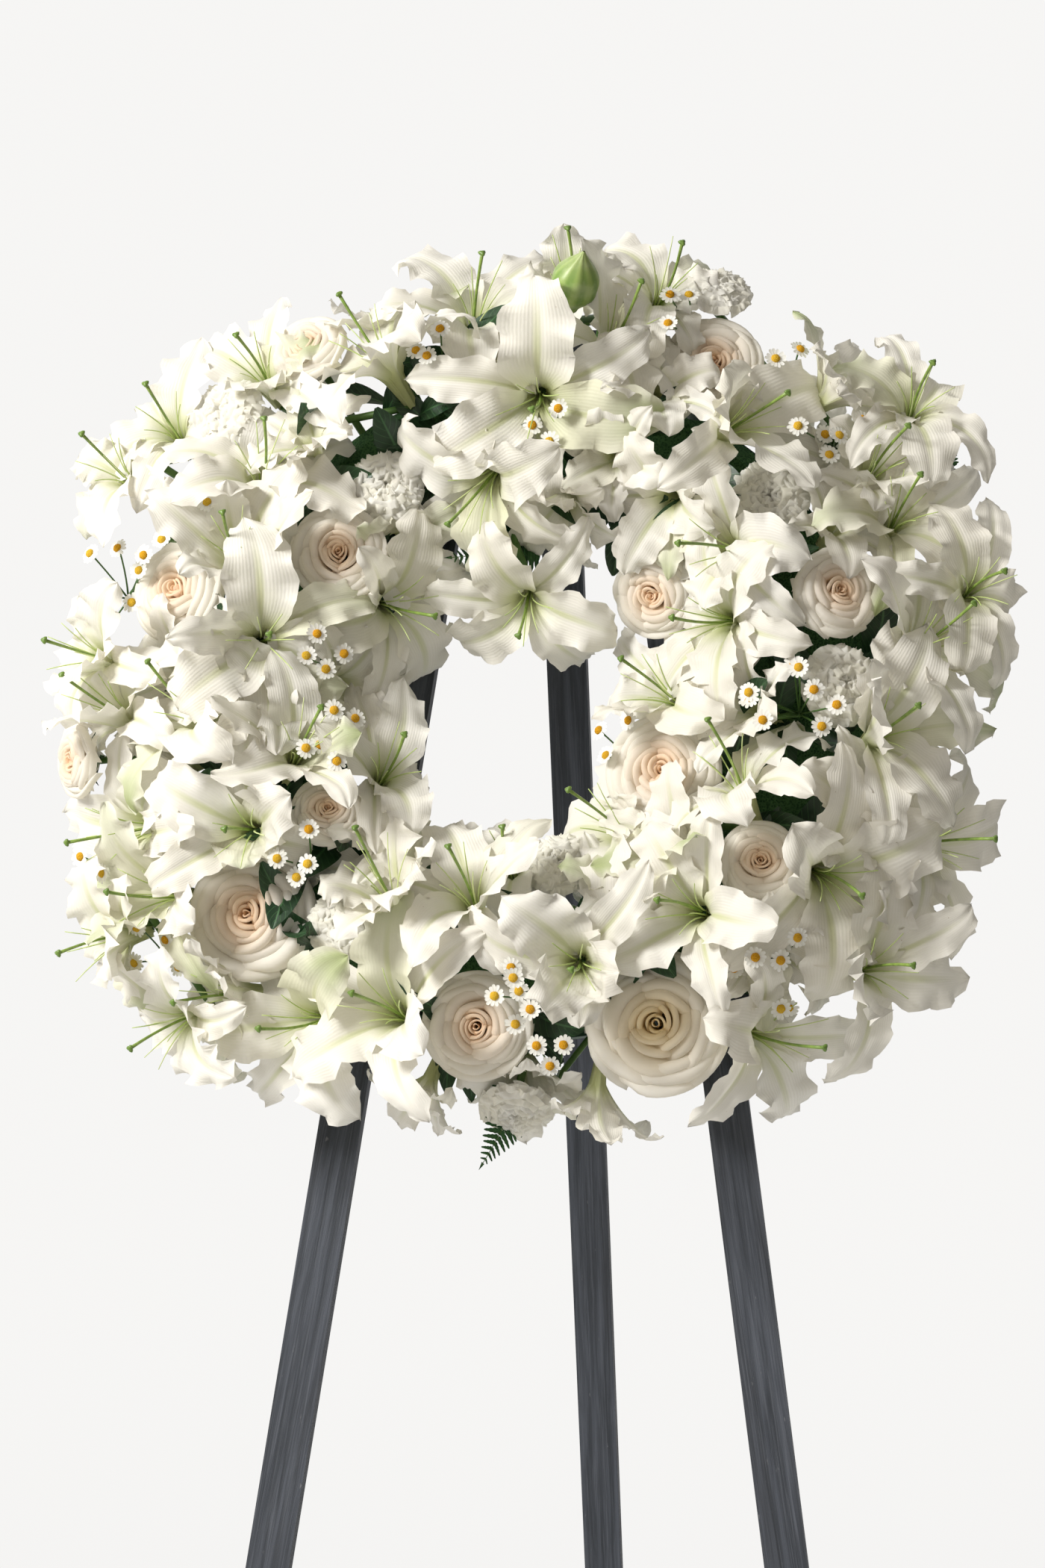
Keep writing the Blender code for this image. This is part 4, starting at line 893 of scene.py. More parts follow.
def arrange():
    """Every head placed and its petals bent clear: the blooms and the trunks of their nodes."""
    draw = random.Random(5)
    blooms = make_blooms()
    spread_heads(blooms)
    lift_off_foam(blooms)
    trunks = choose_feet(blooms)
    space = Space()
    space.add(("base", "stem"), tray_shape())
    space.add(("base", "stem"), foam_shape(MM))
    for trunk in trunks:
        space.add((trunk, "stem"), stem_only(trunk.at, trunk.foot, STEM_R))
    for bloom in blooms:
        if bloom.kind == "lily":
            space.add((bloom, "core"), lily_core(bloom))
            continue
        if bloom.kind in ("twig", "root"):
            shape = stem_only(bloom.at, bloom.foot, STEM_R * 0.8)
        else:
            shape = bud_shape(bloom) if bloom.kind == "bud" else round_shape(bloom)
        space.add((bloom, "stem"), shape)
    for bloom in blooms:
        if bloom.kind == "twig":
            choose_heads(bloom, space, draw)
    for bloom in blooms:
        if bloom.kind in OPEN_SHARE:
            space.add((bloom, "open way"), open_way(bloom))
    lilies = sorted((b for b in blooms if b.kind == "lily"), key=lambda b: -b.axis.z * b.size)
    for bloom in lilies:
        choose_petals(bloom, space, draw)
    for bloom in blooms:
        if bloom.kind == "root":
            for tip_row in bloom.row[2:]:
                blade = choose_blade(bloom, tip_row, space, bloom.node in FERNS)
                if blade:
                    space.add((bloom, "blade"), blade)
    return blooms, trunks


# A colour mix node's share and its two colours, and where its result comes out
MIX_SHARE, MIX_COLOURS, MIX_RESULT = 0, (6, 7), 2


class Nodes:
    """Short calls that add nodes to a shader tree."""

    def __init__(self, tree):
        self.tree = tree

    def feed(self, socket, given):
        """Link what another node gives, or set a plain value."""
        if isinstance(given, bpy.types.NodeSocket):
            self.tree.links.new(given, socket)
        else:
            socket.default_value = given

    def node(self, kind, inputs=(), **values):
        node = self.tree.nodes.new(kind)
        for key, value in values.items():
            setattr(node, key, value)
        for key, given in inputs:
            self.feed(node.inputs[key], given)
        return node

    def calc(self, kind, a, b=0.0):
        return self.node("ShaderNodeMath", ((0, a), (1, b)), operation=kind).outputs[0]

    def times(self, a, b):
        return self.calc("MULTIPLY", a, b)

    def plus(self, a, b):
        return self.calc("ADD", a, b)

    def most(self, a, b):
        return self.calc("MAXIMUM", a, b)

    def step(self, value, low, high, start=0.0, end=1.0):
        """Eases from start to end while the value goes from low to high."""
        keys = ("Value", "From Min", "From Max", "To Min", "To Max")
        inputs = zip(keys, (value, low, high, start, end))
        return self.node("ShaderNodeMapRange", inputs, interpolation_type="SMOOTHSTEP").outputs[0]

    def mix(self, share, first, second):
        node = self.node("ShaderNodeMix", ((MIX_SHARE, share),), data_type="RGBA")
        for key, given in zip(MIX_COLOURS, (first, second)):
            self.feed(node.inputs[key], (*given, 1.0) if isinstance(given, tuple) else given)
        return node.outputs[MIX_RESULT]


class Look(Nodes):
    """One material: a Principled shader and the nodes in front of it."""

    def __init__(self, name, roughness=0.5, specular=0.5, metallic=0.0):
        self.material = bpy.data.materials.new(name)
        self.material.use_nodes = True
        super().__init__(self.material.node_tree)
        self.shader = self.tree.nodes["Principled BSDF"]
        values = {"Roughness": roughness, "Specular IOR Level": specular, "Metallic": metallic}
        for key, value in values.items():
            self.feed(self.shader.inputs[key], value)
        self.marks = None

    def mark(self, axis):
        """The lay's own coordinate: 0 across, 1 along."""
        if self.marks is None:
            uv = self.node("ShaderNodeUVMap", uv_map="lay")
            self.marks = self.node("ShaderNodeSeparateXYZ", ((0, uv.outputs[0]),))
        return self.marks.outputs[axis]

    def tone(self):
        """A number of the petal's or leaf's own, from 0 to 1."""
        return self.node("ShaderNodeAttribute", attribute_name="tone").outputs["Fac"]

    def stripes(self, count):
        """A wave across the lay."""
        return self.calc("SINE", self.times(self.mark(0), count))

    def from_rib(self):
        """0 at the midrib and 1 at the margins."""
        return self.times(self.calc("ABSOLUTE", self.calc("SUBTRACT", self.mark(0), 0.5)), 2.0)

    def space(self, scale=(1.0, 1.0, 1.0), turn=(0.0, 0.0, 0.0)):
        """The piece's own space, turned and then scaled."""
        place = self.node("ShaderNodeTexCoord").outputs["Object"]
        turned = self.node("ShaderNodeMapping", (("Vector", place), ("Rotation", turn)))
        return self.node("ShaderNodeMapping", (("Vector", turned.outputs[0]), ("Scale", scale))).outputs[0]

    def noise(self, scale, vector=None, detail=4.0, rough=0.5, warp=0.0):
        inputs = [("Scale", scale), ("Detail", detail), ("Roughness", rough), ("Distortion", warp)]
        inputs.append(("Vector", vector if vector else self.space()))
        return self.node("ShaderNodeTexNoise", inputs).outputs[0]

    def cells(self, scale):
        return self.node("ShaderNodeTexVoronoi", (("Vector", self.space()), ("Scale", scale))).outputs[0]

    def colour(self, socket):
        self.feed(self.shader.inputs["Base Color"], socket)

    def rough(self, socket):
        self.feed(self.shader.inputs["Roughness"], socket)

    def bump(self, height, strength, distance):
        inputs = (("Height", height), ("Strength", strength), ("Distance", distance))
        self.feed(self.shader.inputs["Normal"], self.node("ShaderNodeBump", inputs).outputs[0])

    def glow_through(self, share, colour):
        """Let a share of the light behind a petal or leaf through it."""
        back = self.node("ShaderNodeBsdfTranslucent", (("Color", (*colour, 1.0)),)).outputs[0]
        blend = self.node("ShaderNodeMixShader", ((0, share), (1, self.shader.outputs[0]), (2, back)))
        self.feed(self.tree.nodes["Material Output"].inputs["Surface"], blend.outputs[0])


def lily_look():
    """White, green in the throat and along the midrib, with some olive tips and a few brown specks."""
    look = Look("lily", roughness=0.52, specular=0.32)
    across = look.from_rib()
    along = look.mark(1)
    tone = look.tone()
    white = look.mix(tone, (0.905, 0.885, 0.845), (0.90, 0.868, 0.800))
    mottle = look.noise(38.0, detail=5.0)
    white = look.mix(look.step(mottle, 0.35, 0.75, 0.0, 0.26), white, (0.82, 0.79, 0.70))
    rib = look.times(look.step(across, 0.02, 0.20, 1.0, 0.0), look.step(along, 0.30, 0.92, 0.62, 0.0))
    flush = look.times(look.step(tone, 0.80, 1.0, 0.0, 0.45), look.step(along, 0.1, 0.8, 1.0, 0.25))
    throat = look.step(along, 0.0, 0.34, 0.80, 0.0)
    flank = look.times(look.step(across, 0.1, 0.75, 1.0, 0.0), look.step(along, 0.12, 0.55, 0.30, 0.0))
    green = look.most(look.most(throat, rib), look.most(flush, flank))
    colour = look.mix(green, white, (0.55, 0.61, 0.20))
    tip = look.times(look.step(tone, 0.86, 0.98, 0.0, 0.85), look.step(along, 0.35, 1.0, 0.0, 1.0))
    tip = look.times(tip, look.step(across, 0.35, 1.0, 1.0, 0.25))
    colour = look.mix(tip, colour, (0.30, 0.40, 0.10))
    lines = look.stripes(128.0)
    veins = look.times(lines, look.step(across, 0.75, 1.0, 1.0, 0.2))
    colour = look.mix(look.step(veins, -0.2, 1.0, 0.0, 0.10), colour, (0.66, 0.70, 0.50))
    specks = look.noise(420.0, detail=2.0)
    colour = look.mix(look.step(specks, 0.765, 0.80, 0.0, 0.75), colour, (0.30, 0.15, 0.05))
    look.colour(colour)
    grain = look.plus(look.times(veins, 0.30), look.noise(260.0, detail=3.0))
    look.bump(grain, 0.30, 0.0006)
    look.glow_through(0.26, (0.94, 0.91, 0.80))
    return look.material


def rose_look(name, heart):
    """Cream, turning to the heart's colour towards the middle; the tone gives the petal's ring."""
    look = Look(name, roughness=0.52, specular=0.28)
    ring = look.tone()
    depth = look.plus(look.times(ring, 0.95), look.times(look.mark(1), 0.42))
    share = look.step(depth, 0.24, 1.02, 0.0, 1.0)
    cream = look.mix(look.noise(45.0), (0.98, 0.955, 0.885), (0.975, 0.955, 0.91))
    colour = look.mix(share, heart, cream)
    lines = look.stripes(90.0)
    colour = look.mix(look.step(lines, 0.0, 1.0, 0.0, 0.05), colour, (0.86, 0.80, 0.66))
    look.colour(colour)
    look.bump(look.plus(look.times(lines, 0.15), look.noise(240.0)), 0.25, 0.0005)
    look.glow_through(0.46, (0.99, 0.95, 0.87))
    return look.material


def plain_look(name, first, second, scale, roughness, specular, through=0.0):
    """Two shades mottled together, with a fine bump."""
    look = Look(name, roughness=roughness, specular=specular)
    mottle = look.plus(look.times(look.noise(scale), 0.6), look.times(look.tone(), 0.4))
    look.colour(look.mix(look.step(mottle, 0.25, 0.75), first, second))
    look.bump(look.noise(300.0), 0.35, 0.0005)
    if through:
        look.glow_through(through, second)
    return look.material


def leaf_look(name, dark, light, roughness, sides, specular=0.5):
    """A green blade with a pale midrib and side veins."""
    look = Look(name, roughness=roughness, specular=specular)
    across = look.from_rib()
    slope = look.calc("SUBTRACT", look.times(look.mark(1), sides), look.times(across, sides * 0.22))
    veins = look.step(look.calc("SINE", slope), 0.86, 1.0, 0.0, 0.45)
    rib = look.step(across, 0.03, 0.10, 0.8, 0.0)
    mottle = look.plus(look.times(look.noise(55.0), 0.5), look.times(look.tone(), 0.5))
    colour = look.mix(look.step(mottle, 0.2, 0.8, 0.0, 0.75), dark, light)
    pale = tuple(min(1.0, c * 2.2) for c in light)
    look.colour(look.mix(look.most(veins, rib), colour, pale))
    look.bump(look.plus(look.times(veins, -0.8), look.noise(200.0)), 0.35, 0.0006)
    look.glow_through(0.10, light)
    return look.material


def bud_look():
    look = Look("bud", roughness=0.38, specular=0.45)
    stripes = look.stripes(math.tau * 9)
    colour = look.mix(look.step(stripes, -1.0, 1.0, 0.0, 0.55), (0.14, 0.26, 0.04), (0.34, 0.46, 0.12))
    colour = look.mix(look.step(look.mark(1), 0.5, 1.0, 0.0, 0.4), colour, (0.50, 0.54, 0.24))
    colour = look.mix(look.step(look.noise(70.0), 0.4, 0.7, 0.0, 0.3), colour, (0.60, 0.64, 0.40))
    look.colour(colour)
    look.bump(stripes, 0.25, 0.0006)
    return look.material


def disc_look():
    look = Look("disc", roughness=0.75, specular=0.2)
    cells = look.cells(1500.0)
    colour = look.mix(look.step(cells, 0.1, 0.7), (0.86, 0.50, 0.02), (0.60, 0.26, 0.01))
    look.colour(look.mix(look.step(look.tone(), 0.3, 1.0, 0.0, 0.5), colour, (0.80, 0.58, 0.06)))
    look.bump(look.times(cells, -1.0), 0.9, 0.0008)
    return look.material


def wood_look(name, direction):
    """Charcoal-stained wood with its grain along a direction."""
    turn = Vector(direction).rotation_difference(Vector((0.0, 0.0, 1.0))).to_euler()
    look = Look(name, roughness=0.62, specular=0.35)
    long = look.space((150.0, 150.0, 5.0), turn)
    fine = look.space((620.0, 620.0, 9.0), turn)
    wide = look.space((42.0, 42.0, 3.0), turn)
    bands = look.noise(1.0, long, detail=6.0, rough=0.62, warp=0.5)
    streaks = look.noise(1.0, fine, detail=4.0, rough=0.6)
    cloud = look.noise(1.0, wide, detail=4.0)
    colour = look.mix(look.step(bands, 0.34, 0.68), (0.026, 0.031, 0.040), (0.070, 0.079, 0.100))
    colour = look.mix(look.step(streaks, 0.48, 0.74, 0.0, 0.55), colour, (0.125, 0.135, 0.160))
    colour = look.mix(look.step(cloud, 0.45, 0.80, 0.0, 0.50), colour, (0.035, 0.037, 0.042))
    worn = look.noise(1.0, look.space((260.0, 260.0, 60.0), turn), detail=3.0)
    colour = look.mix(look.step(worn, 0.70, 0.78, 0.0, 0.55), colour, (0.22, 0.22, 0.23))
    look.colour(colour)
    look.rough(look.step(streaks, 0.3, 0.8, 0.48, 0.74))
    look.bump(look.plus(bands, look.times(streaks, 0.7)), 0.55, 0.0010)
    return look.material


def foam_look():
    look = Look("foam", roughness=0.95, specular=0.1)
    pores = look.cells(520.0)
    colour = look.mix(look.step(pores, 0.15, 0.7), (0.030, 0.085, 0.035), (0.075, 0.17, 0.065))
    look.colour(look.mix(look.step(look.noise(30.0), 0.4, 0.7, 0.0, 0.4), colour, (0.04, 0.10, 0.04)))
    look.bump(pores, 0.7, 0.0012)
    return look.material


def metal_look():
    look = Look("zinc", roughness=0.36, metallic=1.0)
    brushed = look.noise(1.0, look.space((900.0, 900.0, 60.0)), detail=3.0)
    look.colour(look.mix(look.step(brushed, 0.3, 0.7), (0.42, 0.42, 0.44), (0.60, 0.60, 0.61)))
    look.rough(look.step(look.noise(160.0), 0.3, 0.7, 0.28, 0.48))
    look.bump(brushed, 0.2, 0.0003)
    return look.material


def tray_look():
    look = Look("tray", roughness=0.46, specular=0.45)
    colour = look.mix(look.step(look.noise(24.0), 0.35, 0.7), (0.014, 0.055, 0.030), (0.024, 0.080, 0.044))
    look.colour(look.mix(look.step(look.noise(240.0), 0.62, 0.75, 0.0, 0.35), colour, (0.07, 0.13, 0.09)))
    look.bump(look.noise(700.0), 0.25, 0.0004)
    return look.material


MATERIALS = {
    "lily": lily_look(),
    "rose": rose_look("rose", (0.99, 0.70, 0.46)),
    "rose_gold": rose_look("rose_gold", (0.97, 0.76, 0.38)),
    "carnation": plain_look("carnation", (0.94, 0.92, 0.82), (0.955, 0.945, 0.90), 60.0, 0.6, 0.25, 0.38),
    "ray": plain_look("ray", (0.84, 0.84, 0.78), (0.88, 0.88, 0.85), 200.0, 0.55, 0.3, 0.18),
    "disc": disc_look(),
    "style": plain_look("style", (0.13, 0.22, 0.04), (0.30, 0.42, 0.09), 160.0, 0.38, 0.45),
    "filament": plain_look("filament", (0.42, 0.54, 0.16), (0.62, 0.70, 0.34), 160.0, 0.42, 0.4),
    "stem": plain_look("stem", (0.055, 0.13, 0.03), (0.11, 0.21, 0.05), 90.0, 0.45, 0.4),
    "leaf": leaf_look("leaf", (0.010, 0.034, 0.014), (0.030, 0.078, 0.030), 0.34, 60.0),
    "fern": leaf_look("fern", (0.012, 0.045, 0.015), (0.035, 0.105, 0.030), 0.42, 26.0, 0.35),
    "bud": bud_look(),
    "foam": foam_look(),
    "tray": tray_look(),
    "zinc": metal_look(),
}


# Fine shapes over the layout
FINE_WIDE = (0.056, 0.039)  # width of a full-size lily's inner and outer petals
PETAL_STEPS = (20, 10)  # quads along and across a petal
FUNNEL_SHARES = (-0.30, -0.20, -0.09)  # the rows of a petal down in the throat
FUNNEL_R = 0.0033
FUNNEL_HALF = 0.0030
SIDE_WAVES = 3.6
RUFFLE = (0.0054 * 1.12, 0.0054 * 0.74)  # height of the waves at the margins, inner and outer petals
CURL = (14.0, 74.0)  # degrees that a petal's tip rolls back
CURLED_BACK = 0.88  # of the petals; the others turn up a little
TWIST = 24.0  # degrees that a petal may turn about its own length, either way
SWAY = 5.0  # degrees that it may bow sideways, either way
MIDRIB_DEEP = 0.0021
PLEAT_HIGH = 0.0010  # of the low ridge on each side of the midrib
EXTRA_LAYS = ((118, 0.74), (96, 0.66), (70, 0.62), (48, 0.66), (34, 0.70))  # bend and length


def front_matrix():
    """From the leaning plane to the world, read off the tray's solid."""
    low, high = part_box("wreath_tray")
    y = (low[1] + high[1]) / 2 + (SEAT + TRAY_RIM / 2) * math.cos(LEAN)
    place = Matrix.Translation(((low[0] + high[0]) / 2, y, WREATH_HEIGHT))
    return place @ Matrix.Rotation(math.pi / 2 - LEAN, 4, "X")


FRONT = front_matrix()


def ease(low, high, value):
    """From 0 to 1, gently at both ends, while the value goes from low to high."""
    part = min(1.0, max(0.0, (value - low) / (high - low)))
    return part * part * (3.0 - 2.0 * part)


class Piece:
    """Grids of points gathered into one mesh, each with its own material and tone."""

    def __init__(self):
        self.points = []
        self.faces = []
        self.marks = []
        self.tones = []
        self.looks = []
        self.names = []

    def grid(self, rows, look, tone=0.0, closed=False, shares=None):
        """Quads between rows of points; closed joins the ends of each row."""
        if look not in self.names:
            self.names.append(look)
        start = len(self.points)
        count = len(rows[0])
        for i, row in enumerate(rows):
            share = shares[i] if shares else i / (len(rows) - 1)
            for j, point in enumerate(row):
                self.points.append(point)
                self.marks.append((j / (count - (0 if closed else 1)), share))
                self.tones.append(tone)
        for i in range(len(rows) - 1):
            for j in range(count if closed else count - 1):
                a = start + i * count + j
                b = start + i * count + (j + 1) % count
                self.faces.append((a, b, b + count, a + count))
                self.looks.append(self.names.index(look))

    def tube(self, path, radii, look, tone=0.0, sides=8):
        """A round tube along a path, with a radius at each point."""
        rows = []
        side = Vector((0.2, 1.0, 0.1))
        for i, point in enumerate(path):
            along = path[min(i + 1, len(path) - 1)] - path[max(i - 1, 0)]
            along.normalize()
            side = (side - along * side.dot(along)).normalized()
            other = along.cross(side)
            turns = (math.tau * j / sides for j in range(sides))
            rows.append([point + spoke(side, other, a) * radii[i] for a in turns])
        rows.insert(0, [path[0]] * sides)
        rows.append([path[-1]] * sides)
        self.grid(rows, look, tone, closed=True)

    def build(self, name, slot, nodes=()):
        """Make the mesh, stood up in the leaning plane, in place of its nodes."""
        mesh = bpy.data.meshes.new(name)
        mesh.from_pydata([tuple(FRONT @ p) for p in self.points], [], self.faces)
        for look in self.names:
            mesh.materials.append(MATERIALS[look])
        mesh.polygons.foreach_set("material_index", self.looks)
        mesh.polygons.foreach_set("use_smooth", [True] * len(self.faces))
        layer = mesh.uv_layers.new(name="lay")
        marks = [c for loop in mesh.loops for c in self.marks[loop.vertex_index]]
        layer.data.foreach_set("uv", marks)
        tone = mesh.attributes.new("tone", "FLOAT", "POINT")
        tone.data.foreach_set("value", self.tones)
        mesh.update()
        obj = bpy.data.objects.new(name, mesh)
        bpy.context.scene.collection.objects.link(obj)
        if nodes:
            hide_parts(*nodes)
        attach(obj, "front")


def petal_width(share):
    """Half width of a lily petal as a share of its widest."""
    if share < 0.40:
        return 0.30 + 0.70 * ease(0.0, 0.40, share)
    return math.sqrt(max(0.0, 1.0 - ((share - 0.40) / 0.60) ** 2.1)) * (1.0 - 0.10 * ease(0.7, 1.0, share))


def spine_of(bloom, kind, bend, length, curl, steps):
    """Radius, height and angle along a petal's middle, from the throat to the tip."""
    start = PETAL_START[kind]
    radius = THROAT_R * bloom.size * 0.87
    height = 0.0
    spine = [(radius, height, start)]
    fine = 4
    for i in range(steps * fine):
        share = (i + 0.5) / (steps * fine)
        angle = start + (bend - start) * share**BEND_POWER + curl * ease(0.70, 1.0, share)
        radius += math.sin(angle) * length / (steps * fine)
        height += math.cos(angle) * length / (steps * fine)
        if i % fine == fine - 1:
            spine.append((radius, height, angle))
    return spine


def fine_petal(piece, bloom, k, lay, draw):
    """One lily petal: channelled at the midrib, cupped at the throat, wavy along both margins."""
    bend, length, yaw = lay
    kind = k % 2
    rows_count, columns = PETAL_STEPS
    curl = math.radians(draw.uniform(*CURL)) * (1.0 if draw.random() < CURLED_BACK else -0.6)
    spine = spine_of(bloom, kind, bend, length, curl, rows_count)
    wide = FINE_WIDE[kind] * bloom.size * draw.uniform(0.94, 1.06)
    side, up = bloom.sides()
    twist = math.radians(draw.uniform(-TWIST, TWIST))
    sway = math.radians(draw.uniform(-SWAY, SWAY))
    phases = [draw.uniform(0.0, math.tau) for _ in range(4)]
    waves = SIDE_WAVES * draw.uniform(0.85, 1.2)
    strength = RUFFLE[kind] * draw.uniform(0.75, 1.3)
    rows = []
    shares = list(FUNNEL_SHARES) + [i / rows_count for i in range(rows_count + 1)]
    for index, share in enumerate(shares):
        at = max(0.0, share)
        radius, height, angle = spine[max(0, index - len(FUNNEL_SHARES))]
        half = 0.5 * wide * petal_width(at)
        if share < 0.0:
            down = share / FUNNEL_SHARES[0]
            radius = radius + (FUNNEL_R - radius) * down**0.8
            height = -LILY_CONE * bloom.size * down
            half = half + (FUNNEL_HALF - half) * down
            angle = PETAL_START[kind] * (1.0 - 0.5 * down)
        turn = bloom.spin + k * math.pi / 3 + yaw * at + sway * math.sin(math.pi * at)
        flat = spoke(side, up, turn)
        across = beside(side, up, turn)
        normal = bloom.axis * math.sin(angle) - flat * math.cos(angle)
        roll = twist * ease(0.25, 1.0, at)
        across, normal = (
            across * math.cos(roll) + normal * math.sin(roll),
            normal * math.cos(roll) - across * math.sin(roll),
        )
        middle = bloom.at + flat * radius + bloom.axis * height
        cup = 0.50 * (1.0 - ease(0.05, 0.50, at)) + 0.14 - 0.46 * ease(0.50, 1.0, at)
        ruffle = bloom.size * strength * ease(0.14, 0.40, at) * (1.0 - 0.45 * ease(0.86, 1.0, at))
        row = []
        for j in range(columns + 1):
            v = 2.0 * j / columns - 1.0
            hand = 0 if v < 0 else 1
            wave = math.sin(math.tau * waves * at + phases[hand])
            wave += 0.45 * math.sin(math.tau * waves * 2.2 * at + phases[2 + hand])
            edge = abs(v) ** 2.2
            lift = half * cup * v * v + ruffle * wave * edge
            lift -= MIDRIB_DEEP * math.exp(-((v / 0.17) ** 2)) * (1.0 - 0.6 * ease(0.6, 1.0, at))
            lift += PLEAT_HIGH * math.exp(-(((abs(v) - 0.36) / 0.14) ** 2)) * ease(0.1, 0.3, at)
            reach = v * half * (1.0 + 0.07 * edge * math.sin(math.tau * waves * at + phases[3 - hand]))
            row.append(middle + across * reach + normal * lift)
        rows.append(row)
    piece.grid(rows, "lily", draw.random(), shares=shares)


STYLE_RADII = (0.0016, 0.0015, 0.0013, 0.0012, 0.0012, 0.0012, 0.0013, 0.0014, 0.0016)
FILAMENT_RADII = (0.0009, 0.0008, 0.0007, 0.0006, 0.0006, 0.0005, 0.0004)
STYLE_BOW = 0.0035
STIGMA_R = 0.0031
STIGMA_HIGH = 0.0021
FILAMENT_LONG = (0.62, 0.80)  # as a share of the pistil's length
FILAMENT_SPREAD = (0.014, 0.030)  # how far out a full-size lily's filaments end


def fine_pistil(piece, bloom, draw):
    """The green style with its three-lobed stigma, and six filaments round it."""
    side, up = bloom.sides()
    length = PISTIL * (0.55 + 0.45 * bloom.size)
    turn = draw.uniform(0.0, math.tau)
    lean = spoke(side, up, turn) * STYLE_BOW
    path = []
    for i in range(9):
        share = i / 8
        bow = lean * math.sin(math.pi * share)
        path.append(bloom.at + bloom.axis * (length * share - THROAT_DEEP * (1 - share)) + bow)
    piece.tube(path, STYLE_RADII, "style", 0.5)
    rows = []
    tip = path[-1]
    for i in range(7):
        polar = math.pi * i / 6
        row = []
        for j in range(12):
            a = math.tau * j / 12
            r = STIGMA_R * math.sin(polar) * (1.0 + 0.26 * math.cos(3 * a))
            row.append(tip + spoke(side, up, a) * r + bloom.axis * (-STIGMA_HIGH * math.cos(polar)))
        rows.append(row)
    piece.grid(rows, "style", 0.0, closed=True)
    for i in range(6):
        a = turn + math.tau * (i + draw.uniform(-0.2, 0.2)) / 6
        flat = spoke(side, up, a)
        long = length * draw.uniform(*FILAMENT_LONG)
        wide = draw.uniform(*FILAMENT_SPREAD) * bloom.size
        path = []
        for j in range(7):
            share = j / 6
            path.append(bloom.at + flat * (0.003 + wide * share**1.7) + bloom.axis * (long * share - 0.004))
        piece.tube(path, FILAMENT_RADII, "filament", draw.random(), sides=5)


def stem_path(top, foot):
    return [top.lerp(foot, share) for share in (0.0, 0.35, 0.7, 1.0)]


def fine_stems(piece, members, trunks):
    for bloom in members:
        radius = STEM_R * (0.8 if bloom.kind in ("twig", "root") else 1.0)
        piece.tube(stem_path(bloom.base(), bloom.foot), [radius] * 4, "stem", 0.5)
    for trunk in trunks:
        piece.tube(stem_path(trunk.at, trunk.foot), [STEM_R] * 4, "stem", 0.5)


def extra_lay(bloom, draw):
    """A lay for a petal that had no room as a solid: short, and folded up more or less."""
    bend, share = EXTRA_LAYS[draw.randrange(len(EXTRA_LAYS))]
    return math.radians(bend), PETAL_LONG * bloom.size * share, math.radians(draw.uniform(-8, 8))


# Rings of a rose's petals from the heart out: how many, rim's share of the radius, span in degrees,
# width of the lip that rolls back, how much one edge tucks under the next
ROSE_PETALS = (
    (2, 0.04, 250, 0.02, 0.30), (3, 0.10, 200, 0.04, 0.30), (3, 0.17, 180, 0.06, 0.26),
    (3, 0.25, 165, 0.09, 0.22), (4, 0.35, 140, 0.12, 0.18), (4, 0.47, 128, 0.15, 0.14),
    (5, 0.60, 112, 0.18, 0.11), (5, 0.74, 104, 0.20, 0.09), (6, 0.87, 92, 0.19, 0.07),
)
LIP_START = 0.66  # how far up a petal its lip begins
ROSE_STEPS = (12, 12)
# Rings of the green cup under a bloom: height and radius as shares of the bloom's radius
ROSE_CUP = ((0.10, 0.55), (-0.08, 0.40), (-0.20, 0.24), (-0.30, 0.13), (-0.36, 0.09))
CARNATION_CUP = ((0.16, 0.42), (0.0, 0.36), (-0.2, 0.26), (-0.36, 0.15), (-0.44, 0.10))
# A rose's sepals: distance out, height and half width along one
SEPAL = ((0.16, -0.26, 0.08), (0.42, -0.14, 0.10), (0.62, -0.06, 0.06), (0.78, -0.12, 0.004))
# Rings of a carnation's petals from the heart out: how many, and the rim's share of the radius
CARNATION_PETALS = ((3, 0.06), (5, 0.20), (7, 0.36), (9, 0.53), (10, 0.70), (11, 0.86))
CARNATION_STEPS = (8, 18)
RAYS = 13
DISC_R = 0.0039
DISC_HIGH = 0.0031
RAY_HALVES = ((0.30, 0.0008), (0.50, 0.0013), (0.78, 0.0016), (0.94, 0.0013), (1.0, 0.0006))
HEAD_BACK = ((0.0, 0.0034), (0.0018, 0.0026), (0.003, 0.001))  # depth and radius of the green back's rings
STALK_RADII = (0.0010, 0.0009, 0.0008, 0.0008, 0.0008, 0.0009)


def rim_height(share, rings, radius):
    """Height of the solid's rims at a share of its radius, with the heart's height in the middle."""
    marks = [(0.0, HEART_HEIGHT + 0.06)] + [(r, h) for r, h, edge in rings if edge == "rim"]
    for (r0, h0), (r1, h1) in zip(marks, marks[1:]):
        if share <= r1:
            return radius * (h0 + (h1 - h0) * (share - r0) / (r1 - r0))
    return radius * marks[-1][1]


def fine_cup(piece, bloom, rings, sides):
    """The green cup under a rose or carnation."""
    radius = bloom.size / 2
    rows = []
    for share, wide in rings:
        rows.append(circle(bloom.at + bloom.axis * (share * radius), bloom.axis, wide * radius, sides))
    piece.grid(rows, "stem", 0.4, closed=True)


